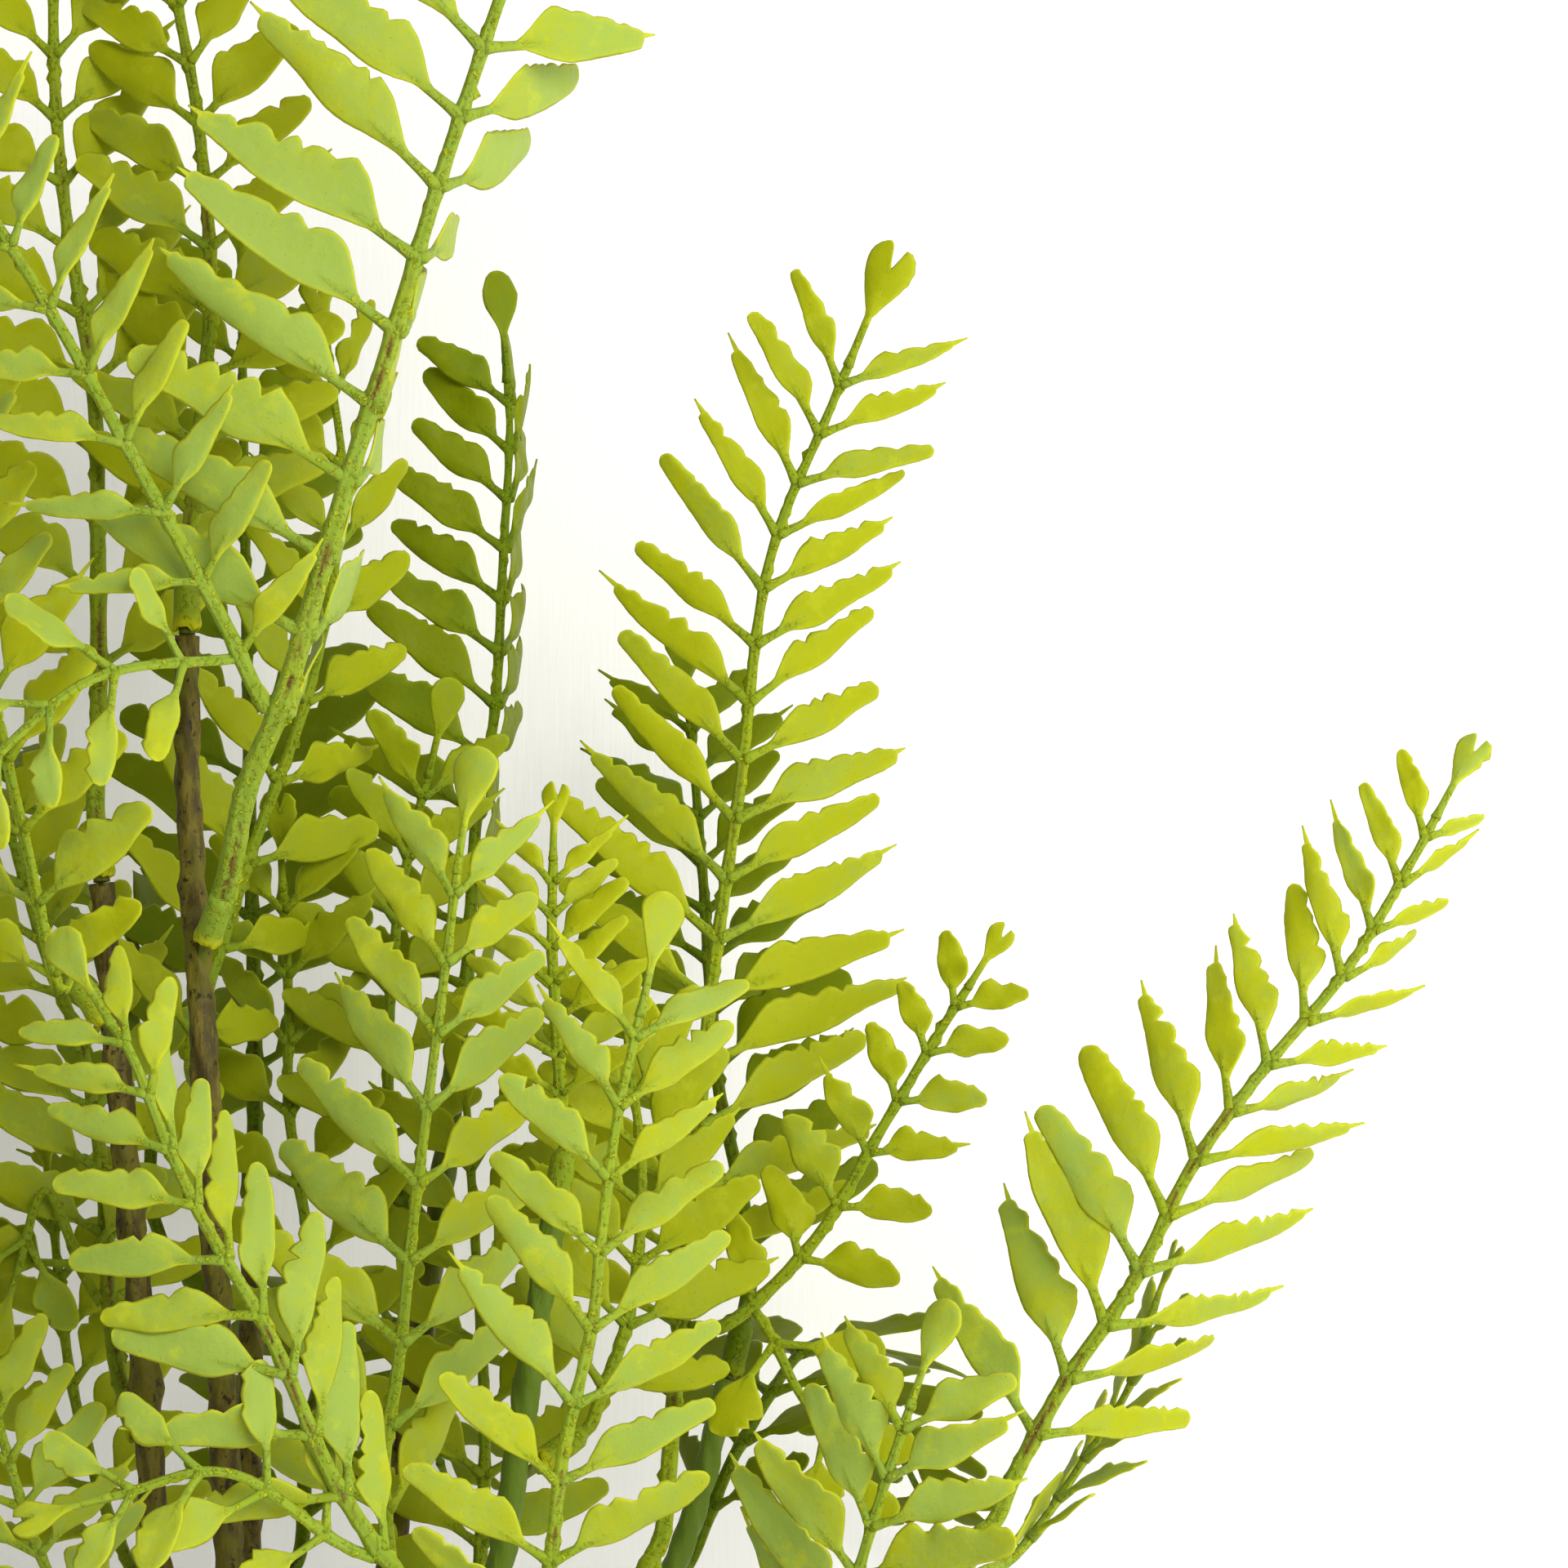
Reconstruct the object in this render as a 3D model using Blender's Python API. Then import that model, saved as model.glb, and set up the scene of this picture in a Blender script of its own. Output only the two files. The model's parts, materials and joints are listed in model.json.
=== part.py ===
"""Artificial fern bush in a plain round pot.

Metres, +Z up, the middle of the pot's underside at the origin, the fullest side toward -Y.
A weighted pot holds a filling; bark-look stems stand in blind holes of the filling; every frond is
one moulding whose sleeve is pushed over a short peg of a stem.
"""

import math
import random

import bmesh
import bpy
from mathutils import Vector
from mathutils.bvhtree import BVHTree

# ---- pot and filling ----
POT_HEIGHT = 0.130
POT_FOOT_RADIUS = 0.056
POT_MOUTH_RADIUS = 0.073
POT_WALL = 0.0032
POT_FLOOR = 0.0040
RIM_HEIGHT = 0.014
RIM_OVERHANG = 0.0045
FILLING_TOP = 0.112
POT_SIDES = 36
FIT_GAP = 0.0003
HOLE_DEPTH = 0.050

# ---- stems ----
STEM_FOOT_RADIUS = 0.0032
STEM_TOP_RADIUS = 0.0023
STEM_SIDES = 8
PEG_HALF = 0.00105
PEG_LENGTH = 0.0080

# ---- fronds ----
PLANT_SPREAD = 1.0
PLANT_RISE = 1.0
LEAF_SCALE = 1.0
LEAF_WIDTH = 0.31
LEAF_RIDGE = 0.0011
SLEEVE_WALL = 0.0011
SLEEVE_LENGTH = 0.0095
SLEEVE_STANDOFF = 0.0068
RACHIS_TIP_HALF = 0.0007
STALK_FOOT = 0.0024
KEEP_APART = 0.0007
SEED = 41

# one line per stem: name, then the points it runs through above its straight foot
STEMS = [
    ("stem_01", [(-.009, -.008, .130), (-.018, -.013, .200), (-.0235, -.015, .253),
                 (-.026, -.015, .292), (-.031, -.012, .345), (-.0345, -.008, .381)]),
    ("stem_02", [(-.001, -.019, .130), (-.006, -.025, .200), (-.0095, -.027, .269),
                 (-.0125, -.026, .330), (-.015, -.023, .366), (-.0175, -.016, .400), (-.018, -.012, .428)]),
    ("stem_03", [(.021, .006, .130), (.044, .014, .185), (.060, .020, .220), (.066, .022, .238)]),
    ("stem_04", [(.024, -.010, .130), (.058, -.016, .172), (.096, -.020, .212), (.1265, -.020, .250)]),
    ("stem_05", [(.012, -.001, .130), (.027, -.001, .190), (.039, -.002, .240), (.047, -.003, .290),
                 (.0515, -.004, .318)]),
    ("stem_06", [(.0105, -.0185, .130), (.016, -.036, .180), (.021, -.056, .222), (.0235, -.066, .243)]),
    ("stem_07", [(-.021, -.009, .130), (-.052, -.024, .185), (-.082, -.036, .240), (-.098, -.040, .292)]),
    ("stem_08", [(-.020, .006, .130), (-.056, .026, .180), (-.090, .044, .232), (-.106, .052, .278)]),
    ("stem_09", [(.006, .012, .130), (.014, .026, .210), (.024, .038, .290), (.030, .045, .338)]),
    ("stem_10", [(-.006, .022, .130), (-.010, .050, .200), (-.012, .074, .265), (-.012, .086, .315)]),
    ("stem_11", [(.018, .019, .130), (.048, .046, .190), (.074, .068, .245), (.084, .076, .280)]),
    ("stem_12", [(-.0125, -.0225, .130), (-.026, -.046, .180), (-.046, -.072, .226), (-.056, -.082, .256)]),
]

# fronds placed one by one: stem, height of the sleeve on it (None is the stem's top), the points the
# rib runs through, the way the upper face looks (azimuth, elevation; 0 is -Y, 90 is +X), pairs of
# leaflets, leaflet length, bare start, half width of the rib, lift of the left and right leaflets
FRONDS = [
    dict(stem="stem_02", at=.362, path=[(-.0045, -.044, .399), (.0035, -.050, .418), (.0125, -.055, .448),
         (.0235, -.058, .483), (.031, -.058, .508), (.040, -.056, .536), (.048, -.054, .560), (.060, -.050, .600)],
         face=(8, 10), pairs=15, leaf=.0395, bare=.050, half=.0023, left=2, right=-80, rightTip=-4, turnAt=.42,
         angle=76,
         limbs=[dict(pair=0, side=-1, path=[(-.008, -.056, .430), (-.022, -.062, .456), (-.0375, -.064, .484),
                     (-.0545, -.062, .512), (-.066, -.058, .536)], face=(-4, 6), pairs=10, leaf=.022, bare=.012,
                     half=.0014, left=0, right=18,
                     limbs=[dict(pair=0, side=-1, path=[(-.031, -.072, .419), (-.051, -.078, .402)], face=(-5, 20),
                                 pairs=4, leaf=.019, bare=.010, half=.0010, left=0, right=10, spatula=True)])]),
    dict(stem="stem_03", at=None, path=[(.072, .024, .256), (.0742, .026, .284), (.0773, .028, .3156),
         (.081, .030, .359), (.0867, .031, .400), (.0906, .031, .434), (.095, .030, .4516), (.103, .028, .470),
         (.108, .026, .482)], face=(-6, 4), pairs=17, leaf=.037, bare=.056, half=.0017, left=4, right=-30, angle=64, tipDrop=.44,
         limbs=[dict(pair=0, side=1, path=[(.0855, .020, .296), (.1015, .017, .312), (.114, .016, .333), (.125, .015, .3515),
                     (.131, .014, .361)], face=(4, 12), pairs=7, leaf=.0165, bare=.016, half=.0013, left=0, right=4,
                     limbs=[dict(pair=0, side=1, path=[(.098, .012, .283), (.106, .010, .272)], face=(0, 10), pairs=2,
                                 leaf=.020, bare=.007, half=.0009, left=0, right=0, spatula=True)])]),
    dict(stem="stem_04", at=None, path=[(.139, -.021, .270), (.1485, -.022, .2875), (.161, -.024, .306),
         (.172, -.026, .328), (.186, -.026, .347), (.2015, -.025, .3655), (.214, -.022, .386), (.2185, -.020, .394)],
         face=(-12, 8), pairs=13, leaf=.034, bare=.030, half=.0016, left=-4, right=-52, rightTip=-60, tipDrop=.55),
    dict(stem="stem_05", at=.205, path=[(.047, -.046, .238), (.0517, -.056, .253), (.0547, -.061, .2766),
         (.060, -.064, .300), (.0617, -.065, .3156), (.0648, -.064, .339), (.069, -.061, .358)], face=(16, 12), pairs=10,
         leaf=.029, bare=.040, half=.0016, left=-6, right=10, tipDrop=.35),
    dict(stem="stem_06", at=None, path=[(.021, -.078, .262), (.0125, -.083, .277), (.003, -.087, .300),
         (-.008, -.088, .319), (-.0155, -.087, .334), (-.022, -.085, .350), (-.0265, -.083, .357)],
         face=(-10, 14), pairs=10, leaf=.028, bare=.020, half=.0016, left=4, right=-44, angle=66, angleRight=44,
         tipDrop=.40,
         limbs=[dict(pair=0, side=-1, path=[(-.004, -.090, .276), (-.026, -.094, .272)], face=(-4, 24), pairs=4,
                     leaf=.021, bare=.010, half=.0011, left=4, right=4, spatula=True)]),
    dict(stem="stem_05", at=None, path=[(.053, -.007, .336), (.0522, -.011, .352), (.0513, -.013, .370), (.0515, -.013, .386)],
         face=(-4, 6), pairs=7, leaf=.0185, bare=.022, half=.0012, left=2, right=2, tipDrop=.35),
    dict(stem="stem_06", at=.205, path=[(.0225, -.044, .250), (.021, -.046, .272), (.024, -.047, .294),
         (.027, -.046, .323), (.031, -.044, .355), (.0345, -.040, .384)], face=(-16, 6), pairs=9, leaf=.030, bare=.050,
         half=.0015, left=4, right=-66, rightTip=-50, tipDrop=.35),
    dict(stem="stem_09", at=None, path=[(.033, .049, .367), (.0345, .051, .394), (.038, .052, .414), (.0395, .052, .441),
         (.041, .051, .468), (.0405, .050, .480)], face=(38, 4), pairs=12, leaf=.027, bare=.020, half=.0016, left=-36,
         right=-40, angle=68, tipDrop=.35),
    dict(stem="stem_04", at=.216, path=[(.106, -.050, .243), (.111, -.058, .262), (.1155, -.062, .277), (.1185, -.062, .286)],
         face=(-18, 12), pairs=6, leaf=.026, bare=.022, half=.0014, left=0, right=0, tipDrop=.35),
    dict(stem="stem_04", at=.238, path=[(.140, .006, .252), (.152, .010, .268), (.162, .011, .284), (.166, .010, .297)],
         face=(-74, 16), pairs=7, leaf=.019, bare=.020, half=.0013, left=0, right=0, tipDrop=.30),
    dict(stem="stem_02", at=None, path=[(-.017, -.008, .455), (-.015, -.006, .478), (-.014, -.005, .498),
         (-.0165, -.005, .527), (-.0205, -.006, .550), (-.026, -.010, .585)], face=(-12, 4), pairs=12, leaf=.025,
         bare=.022, half=.0016, left=2, right=-22, tipDrop=.35),
    dict(stem="stem_01", at=None, path=[(-.0355, -.004, .410), (-.036, .000, .448), (-.037, .002, .475), (-.043, .002, .515),
         (-.0445, .000, .550), (-.042, -.006, .590)], face=(14, 2), pairs=14, leaf=.026, bare=.040, half=.0018, left=6,
         right=-10, tipDrop=.30),
    dict(stem="stem_09", at=.300, path=[(.018, .030, .340), (.019, .030, .366), (.022, .030, .386), (.026, .028, .402)],
         face=(22, 6), pairs=6, leaf=.021, bare=.020, half=.0013, left=4, right=0, tipDrop=.25),
    dict(stem="stem_09", at=.262, path=[(.004, .028, .305), (-.001, .027, .335), (-.001, .025, .356), (-.002, .022, .380)],
         face=(-10, 4), pairs=7, leaf=.021, bare=.024, half=.0013, left=0, right=0, tipDrop=.25),
    dict(stem="stem_01", at=.272, path=[(-.034, .004, .300), (-.036, .010, .325), (-.040, .013, .348), (-.0475, .013, .368),
         (-.055, .010, .395)], face=(16, 4), pairs=9, leaf=.024, bare=.030, half=.0018, left=0, right=0, tipDrop=.25,
         limbs=[dict(pair=0, side=-1, path=[(-.046, .004, .322), (-.051, .000, .308)], face=(10, 6), pairs=2, leaf=.021,
                     bare=.008, half=.0010, left=0, right=0, spatula=True)]),
    dict(stem="stem_01", at=.346, path=[(-.041, -.030, .362), (-.0455, -.036, .385), (-.052, -.038, .415),
         (-.060, -.036, .450), (-.068, -.030, .480)], face=(-26, 6), pairs=10, leaf=.023, bare=.022, half=.0014, left=0,
         right=0, tipDrop=.35),
    dict(stem="stem_02", at=.330, path=[(-.018, .002, .350), (-.008, .012, .385), (.004, .016, .420), (.010, .014, .455),
         (.008, .008, .480)], face=(30, 2), pairs=9, leaf=.023, bare=.030, half=.0015, left=0, right=-10, tipDrop=.35),
    dict(stem="stem_01", at=.222, path=[(-.037, -.038, .244), (-.044, -.050, .262), (-.051, -.056, .288)], face=(-14, 20),
         pairs=6, leaf=.021, bare=.022, half=.0013, left=0, right=0, tipDrop=.25),
    dict(stem="stem_05", at=.215, path=[(.036, .022, .246), (.037, .028, .275), (.035, .029, .312), (.034, .026, .330)],
         face=(6, 6), pairs=8, leaf=.024, bare=.024, half=.0014, left=0, right=0, tipDrop=.25),
    dict(stem="stem_01", at=.236, path=[(-.036, .012, .262), (-.043, .020, .285), (-.047, .023, .318)], face=(20, 8),
         pairs=7, leaf=.023, bare=.022, half=.0014, left=0, right=0, tipDrop=.25),
    dict(stem="stem_05", at=.262, path=[(.060, .006, .282), (.066, .008, .300), (.068, .006, .325), (.066, .002, .345)],
         face=(10, 6), pairs=6, leaf=.024, bare=.020, half=.0013, left=0, right=0, tipDrop=.25),
]

# arching fronds of the sides and the back: stem, sleeve height (None is the top), azimuth it leans to
# (0 is -Y, 90 is +X), reach, rise of the middle, height of the end above the sleeve, pairs, leaflet length
ARCHES = [
    ("stem_07", None, 288, .105, .100, .120, 12, .028), ("stem_07", .262, 250, .120, .070, .050, 11, .027),
    ("stem_07", .215, 318, .110, .052, .010, 9, .026), ("stem_08", None, 262, .100, .105, .130, 12, .028),
    ("stem_08", .240, 232, .115, .068, .045, 10, .027), ("stem_08", .196, 285, .115, .040, -.010, 8, .026),
    ("stem_10", None, 186, .070, .130, .190, 13, .028), ("stem_10", .285, 228, .095, .105, .120, 10, .027),
    ("stem_10", .232, 164, .120, .060, .020, 9, .026), ("stem_11", None, 188, .060, .100, .135, 11, .028),
    ("stem_11", .235, 150, .110, .048, .010, 9, .026), ("stem_11", .190, 100, .115, .030, -.020, 8, .026),
    ("stem_12", None, 300, .080, .080, .080, 9, .027), ("stem_12", .205, 342, .095, .036, -.020, 8, .025),
    ("stem_03", .176, 62, .125, .045, -.005, 8, .026), ("stem_05", .170, 18, .120, .035, -.020, 7, .025),
    ("stem_10", .190, 212, .115, .030, -.025, 7, .025),
]

LOOKS = {
    "pot": ((.055, .056, .055, 1), .55),
    "filling": ((.13, .085, .05, 1), .9),
    "stem": ((.16, .105, .045, 1), .7),
    "frond": ((.36, .47, .06, 1), .5),
}


def clearScene():
    for item in list(bpy.data.objects):
        bpy.data.objects.remove(item, do_unlink=True)


def material(name, look):
    colour, rough = look
    mat = bpy.data.materials.new(name)
    mat.use_nodes = True
    shader = mat.node_tree.nodes["Principled BSDF"]
    shader.inputs["Base Color"].default_value = colour
    shader.inputs["Roughness"].default_value = rough
    mat.diffuse_color = colour
    return mat


def addObject(name, verts, faces, look, smooth=False):
    mesh = bpy.data.meshes.new(name)
    work = bmesh.new()
    made = [work.verts.new(v) for v in verts]
    for face in faces:
        work.faces.new([made[i] for i in face])
    bmesh.ops.recalc_face_normals(work, faces=work.faces)
    bmesh.ops.triangulate(work, faces=work.faces)
    work.to_mesh(mesh)
    work.free()
    item = bpy.data.objects.new(name, mesh)
    bpy.context.scene.collection.objects.link(item)
    mesh.materials.append(material(name, look))
    for poly in mesh.polygons:
        poly.use_smooth = smooth
    return item


# ---- paths ----

def samplePath(points, lead=None, steps=10):
    """Points along a smooth line through the given points, starting the way lead points."""
    pts = [Vector(p) for p in points]
    tangents = []
    for i, p in enumerate(pts):
        if i == 0:
            span = (pts[1] - p).length
            tangents.append(lead.normalized() * span if lead is not None else pts[1] - p)
        elif i == len(pts) - 1:
            tangents.append(p - pts[i - 1])
        else:
            tangents.append((pts[i + 1] - pts[i - 1]) * .5)
    out = []
    for i in range(len(pts) - 1):
        a, b, ta, tb = pts[i], pts[i + 1], tangents[i], tangents[i + 1]
        for k in range(steps):
            t = k / steps
            t2, t3 = t * t, t * t * t
            out.append(a * (2 * t3 - 3 * t2 + 1) + ta * (t3 - 2 * t2 + t) + b * (3 * t2 - 2 * t3) + tb * (t3 - t2))
    out.append(pts[-1])
    return out


class Path:
    """A line with its length, and the place and direction at any distance along it."""

    def __init__(self, points):
        self.points = points
        self.marks = [0.0]
        for a, b in zip(points, points[1:]):
            self.marks.append(self.marks[-1] + (b - a).length)
        self.length = self.marks[-1]
        ways = [(b - a).normalized() for a, b in zip(points, points[1:])]
        self.ways = [ways[0]]
        self.ways += [(a + b).normalized() for a, b in zip(ways, ways[1:])]
        self.ways.append(ways[-1])

    def at(self, dist):
        dist = min(max(dist, 0), self.length)
        lo, hi = 0, len(self.marks) - 1
        while hi - lo > 1:
            mid = (lo + hi) // 2
            if self.marks[mid] <= dist:
                lo = mid
            else:
                hi = mid
        part = (dist - self.marks[lo]) / max(self.marks[hi] - self.marks[lo], 1e-9)
        return self.points[lo].lerp(self.points[hi], part), self.ways[lo].lerp(self.ways[hi], part).normalized()


def lookWay(face):
    azimuth, elevation = (math.radians(a) for a in face)
    flat = math.cos(elevation)
    return Vector((math.sin(azimuth) * flat, -math.cos(azimuth) * flat, math.sin(elevation)))


def upright(way, look):
    """The part of look square to way."""
    return (look - way * look.dot(way)).normalized()


def placed(point):
    x, y, z = point
    return Vector((x * PLANT_SPREAD, y * PLANT_SPREAD, FILLING_TOP + (z - FILLING_TOP) * PLANT_RISE))


# ---- the plan: where every stem, rib and leaflet goes ----

def planStems():
    stems = {}
    for name, points in STEMS:
        pts = [placed(p) for p in points]
        foot = Vector((pts[0].x, pts[0].y, FILLING_TOP + .004))
        bottom = Vector((foot.x, foot.y, FILLING_TOP - HOLE_DEPTH + FIT_GAP))
        line = [bottom, foot] + samplePath([foot + Vector((0, 0, .004))] + pts[1:], Vector((0, 0, 1)), 6)
        stems[name] = dict(path=Path(line), pegs=[])
    return stems


def stemRadius(stem, dist):
    part = dist / stem["path"].length
    return STEM_FOOT_RADIUS + (STEM_TOP_RADIUS - STEM_FOOT_RADIUS) * part


def distAtHeight(path, height):
    for i, p in enumerate(path.points):
        if p.z >= height:
            return path.marks[i]
    return path.length * .9


def frondStart(stem, frond):
    """Mouth of the sleeve, the way it points and the place on the stem."""
    path = stem["path"]
    first = placed(frond["path"][0])
    if frond["at"] is None:
        spot, way = path.at(path.length)
        return spot + way * .0016, way, path.length
    height = FILLING_TOP + (frond["at"] - FILLING_TOP) * PLANT_RISE
    dist = distAtHeight(path, height)
    spot, up = path.at(dist)
    out = first - spot
    out = (out - up * out.dot(up)).normalized()
    way = (up * .62 + out * .785).normalized()
    return spot + way * SLEEVE_STANDOFF, way, dist


def archPath(spot, azimuth, reach, rise, end):
    turn = math.radians(azimuth)
    out = Vector((math.sin(turn), -math.cos(turn), 0))
    up = Vector((0, 0, 1))
    steps = [(.30, .62), (.62, .98), (1.0, None)]
    points = []
    for far, high in steps:
        lift = rise * high if high is not None else end
        points.append(spot + out * reach * far * PLANT_SPREAD + up * lift * PLANT_RISE)
    return points


def archFrond(stems, row):
    name, at, azimuth, reach, rise, end, pairs, leaf = row
    path = stems[name]["path"]
    spot = path.at(path.length if at is None else distAtHeight(path, at))[0]
    points = archPath(spot, azimuth, reach, rise, end)
    slope = math.degrees(math.atan2(rise, reach))
    spots = [(p.x / PLANT_SPREAD, p.y / PLANT_SPREAD, FILLING_TOP + (p.z - FILLING_TOP) / PLANT_RISE) for p in points]
    return dict(stem=name, at=at, path=spots, face=(azimuth + 180, 90 - slope * .6), pairs=pairs, leaf=leaf,
                bare=.026, half=.0016, left=6, right=6, tipDrop=.40)


def ribHalf(rib, dist):
    part = dist / rib["path"].length
    return rib["half"] + (RACHIS_TIP_HALF - rib["half"]) * part ** .9


def planRib(spec, start, way, owner, sleeve):
    """One rib (of a frond or of a side branch) with its leaflet places, and the ribs that leave it."""
    points = [placed(p) for p in spec["path"]]
    if sleeve:
        begin = start + way * (SLEEVE_LENGTH + .002)
        line = [start, start + way * SLEEVE_LENGTH] + samplePath([begin] + points, way, 8)
    else:
        line = samplePath([start] + points, way, 8)
    rib = dict(path=Path(line), half=spec["half"], spec=spec, owner=owner, sleeve=sleeve, limbs=[])
    rib["look"] = lookWay(spec["face"])
    first, last = spec["bare"], rib["path"].length - .003
    count = spec["pairs"]
    rib["spots"] = []
    for k in range(count):
        t = k / max(count - 1, 1)
        rib["spots"].append(first + (last - first - STALK_FOOT) * t * (1.12 - .12 * t))
    return rib


def frame(rib, dist):
    spot, way = rib["path"].at(dist)
    normal = upright(way, rib["look"])
    return spot, way, normal, way.cross(normal)


def planLimbs(rib, ribs):
    for limb in rib["spec"].get("limbs", []):
        dist = rib["spots"][limb["pair"]]
        spot, way, normal, right = frame(rib, dist)
        start = spot + right * limb["side"] * ribHalf(rib, dist)
        toward = (placed(limb["path"][0]) - start).normalized()
        lead = (toward + right * limb["side"] * .5 + way * .2).normalized()
        child = planRib(limb, start, lead, rib["owner"], False)
        rib["limbs"].append((limb["pair"], limb["side"], child))
        ribs.append(child)
        planLimbs(child, ribs)


def leafAt(rib, side, dist, angle, lift, length, width, bend, roll, spatula):
    """A leaflet: where it leaves the rib, its three directions and its size."""
    spot, way, normal, right = frame(rib, dist)
    out = right * side
    turned = out * math.cos(lift) + normal * math.sin(lift)
    up = normal * math.cos(lift) - out * math.sin(lift)
    along = way * math.cos(angle) + turned * math.sin(angle)
    across = upright(along, way)
    across, up = across * math.cos(roll) + up * math.sin(roll), up * math.cos(roll) - across * math.sin(roll)
    root = spot + out * ribHalf(rib, dist) * .9
    return dict(root=root, along=along, across=across, up=up, length=length, width=width, bend=bend, side=side,
                spatula=spatula, dist=dist)


def leafSpot(leaf, part):
    """Centre line of a leaflet at a share of its length, with the local directions."""
    bend, size = leaf["bend"], leaf["length"]
    turn = bend * part
    if abs(bend) < 1e-4:
        x, z = part * size, 0.0
    else:
        x, z = size * math.sin(turn) / bend, -size * (1 - math.cos(turn)) / bend
    along = leaf["along"] * math.cos(turn) - leaf["up"] * math.sin(turn)
    up = leaf["up"] * math.cos(turn) + leaf["along"] * math.sin(turn)
    return leaf["root"] + leaf["along"] * x + leaf["up"] * z, along, up


# share of the length, share of the width above and below the centre line, share of the ridge
BLADE = [(.25, .13, .13, .9), (.45, .58, .42, 1.0), (.78, .46, .34, .8)]
SPATULA = [(.36, .12, .12, .9), (.66, .46, .44, 1.0), (.88, .42, .38, .8)]
BLADE_ROWS = [(.23, .13, .13, .95), (.50, .57, .43, 1.0)]
SPATULA_ROWS = [(.38, .12, .12, .95), (.76, .46, .44, 1.0)]


def leafShell(leaf, grow):
    """A closed thin box chain round a leaflet, grown by a margin, to try it against its neighbours."""
    verts, faces = [], []
    rows = [(.10, .08, .08, .9)] + (SPATULA if leaf["spatula"] else BLADE) + [(1.0, .06, .06, .5)]
    for part, high, low, thick in rows:
        spot, along, up = leafSpot(leaf, part)
        across = leaf["across"]
        if part == 1.0:
            spot = spot + along * grow
        hi, lo = high * leaf["width"] + grow, low * leaf["width"] + grow
        top, under = LEAF_RIDGE * thick * .6 + grow, grow
        verts += [spot - across * lo + up * top, spot + across * hi + up * top,
                  spot + across * hi - up * under, spot - across * lo - up * under]
    for i in range(len(rows) - 1):
        a = i * 4
        for k in range(4):
            n = (k + 1) % 4
            faces.append((a + k, a + n, a + 4 + n, a + 4 + k))
    faces.append((0, 1, 2, 3))
    end = len(verts) - 4
    faces.append((end, end + 1, end + 2, end + 3))
    return verts, faces


def tubeShell(path, radius, grow, first=0.0, step=.004):
    verts, faces = [], []
    count = max(2, int((path.length - first) / step))
    for i in range(count + 1):
        dist = first + (path.length - first) * i / count
        spot, way = path.at(dist)
        side = way.orthogonal().normalized()
        over = way.cross(side)
        r = (radius(dist) + grow) * 1.25
        for k in range(6):
            a = k * math.pi / 3
            verts.append(spot + side * math.cos(a) * r + over * math.sin(a) * r)
    for i in range(count):
        for k in range(6):
            n = (k + 1) % 6
            faces.append((i * 6 + k, i * 6 + n, i * 6 + 6 + n, i * 6 + 6 + k))
    return verts, faces


class Crowd:
    """Everything already standing, to find what a new piece would run into."""

    def __init__(self):
        self.items = []

    def add(self, verts, faces, owner, rib=None):
        tree = BVHTree.FromPolygons(verts, faces)
        low = [min(v[i] for v in verts) for i in range(3)]
        high = [max(v[i] for v in verts) for i in range(3)]
        self.items.append((low, high, tree, owner, rib))

    def meets(self, verts, faces, skip):
        low = [min(v[i] for v in verts) for i in range(3)]
        high = [max(v[i] for v in verts) for i in range(3)]
        tree = None
        for bottom, top, other, owner, rib in self.items:
            if any(high[i] < bottom[i] or low[i] > top[i] for i in range(3)):
                continue
            if skip(owner, rib):
                continue
            if tree is None:
                tree = BVHTree.FromPolygons(verts, faces)
            if tree.overlap(other):
                return True
        return False


SHIFTS = [(0, 0), (0, 1), (0, -1), (1, 0), (-1, 0), (0, 2), (0, -2), (1, 1), (-1, -1), (2, 0), (-2, 0), (1, -1), (-1, 1),
          (0, 3), (0, -3), (2, 2), (-2, -2), (3, 0), (-3, 0), (0, 4), (0, -4)]


def shifted(spec, move):
    """The same frond with its middle pushed aside, so that it passes its neighbours."""
    moved = dict(spec)
    count = len(spec["path"])
    points = []
    for i, (x, y, z) in enumerate(spec["path"]):
        share = math.sin(math.pi * min(1, (i + 1) / (count * .6)) * .5)
        points.append((x + move[0] * .004 * share, y + move[1] * .004 * share, z))
    moved["path"] = points
    moved["limbs"] = [shifted(limb, move) for limb in spec.get("limbs", [])]
    return moved


def planFronds(stems, crowd):
    specs = [dict(f) for f in FRONDS] + [archFrond(stems, row) for row in ARCHES]
    for name, stem in stems.items():
        verts, faces = tubeShell(stem["path"], lambda d, s=stem: stemRadius(s, d), 0)
        crowd.add(verts, faces, name)
    fronds = []
    for i, spec in enumerate(specs):
        name = "frond_%02d" % (i + 1)
        stem = stems[spec["stem"]]
        for move in SHIFTS:
            trial = shifted(spec, move)
            start, way, dist = frondStart(stem, trial)
            ribs = [planRib(trial, start, way, name, True)]
            planLimbs(ribs[0], ribs)
            shells = [tubeShell(r["path"], lambda d, r=r: ribHalf(r, d), KEEP_APART) for r in ribs]
            if not any(crowd.meets(v, f, lambda owner, rib, own=spec["stem"], k=k: k == 0 and owner == own)
                       for k, (v, f) in enumerate(shells)):
                break
        else:
            print("no clear way for", name)
        for rib in ribs:
            verts, faces = tubeShell(rib["path"], lambda d, r=rib: ribHalf(r, d), 0)
            crowd.add(verts, faces, name, id(rib))
        stem["pegs"].append(dict(dist=dist, start=start, way=way, look=ribs[0]["look"], top=spec["at"] is None))
        fronds.append(dict(name=name, ribs=ribs))
    return fronds


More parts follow.
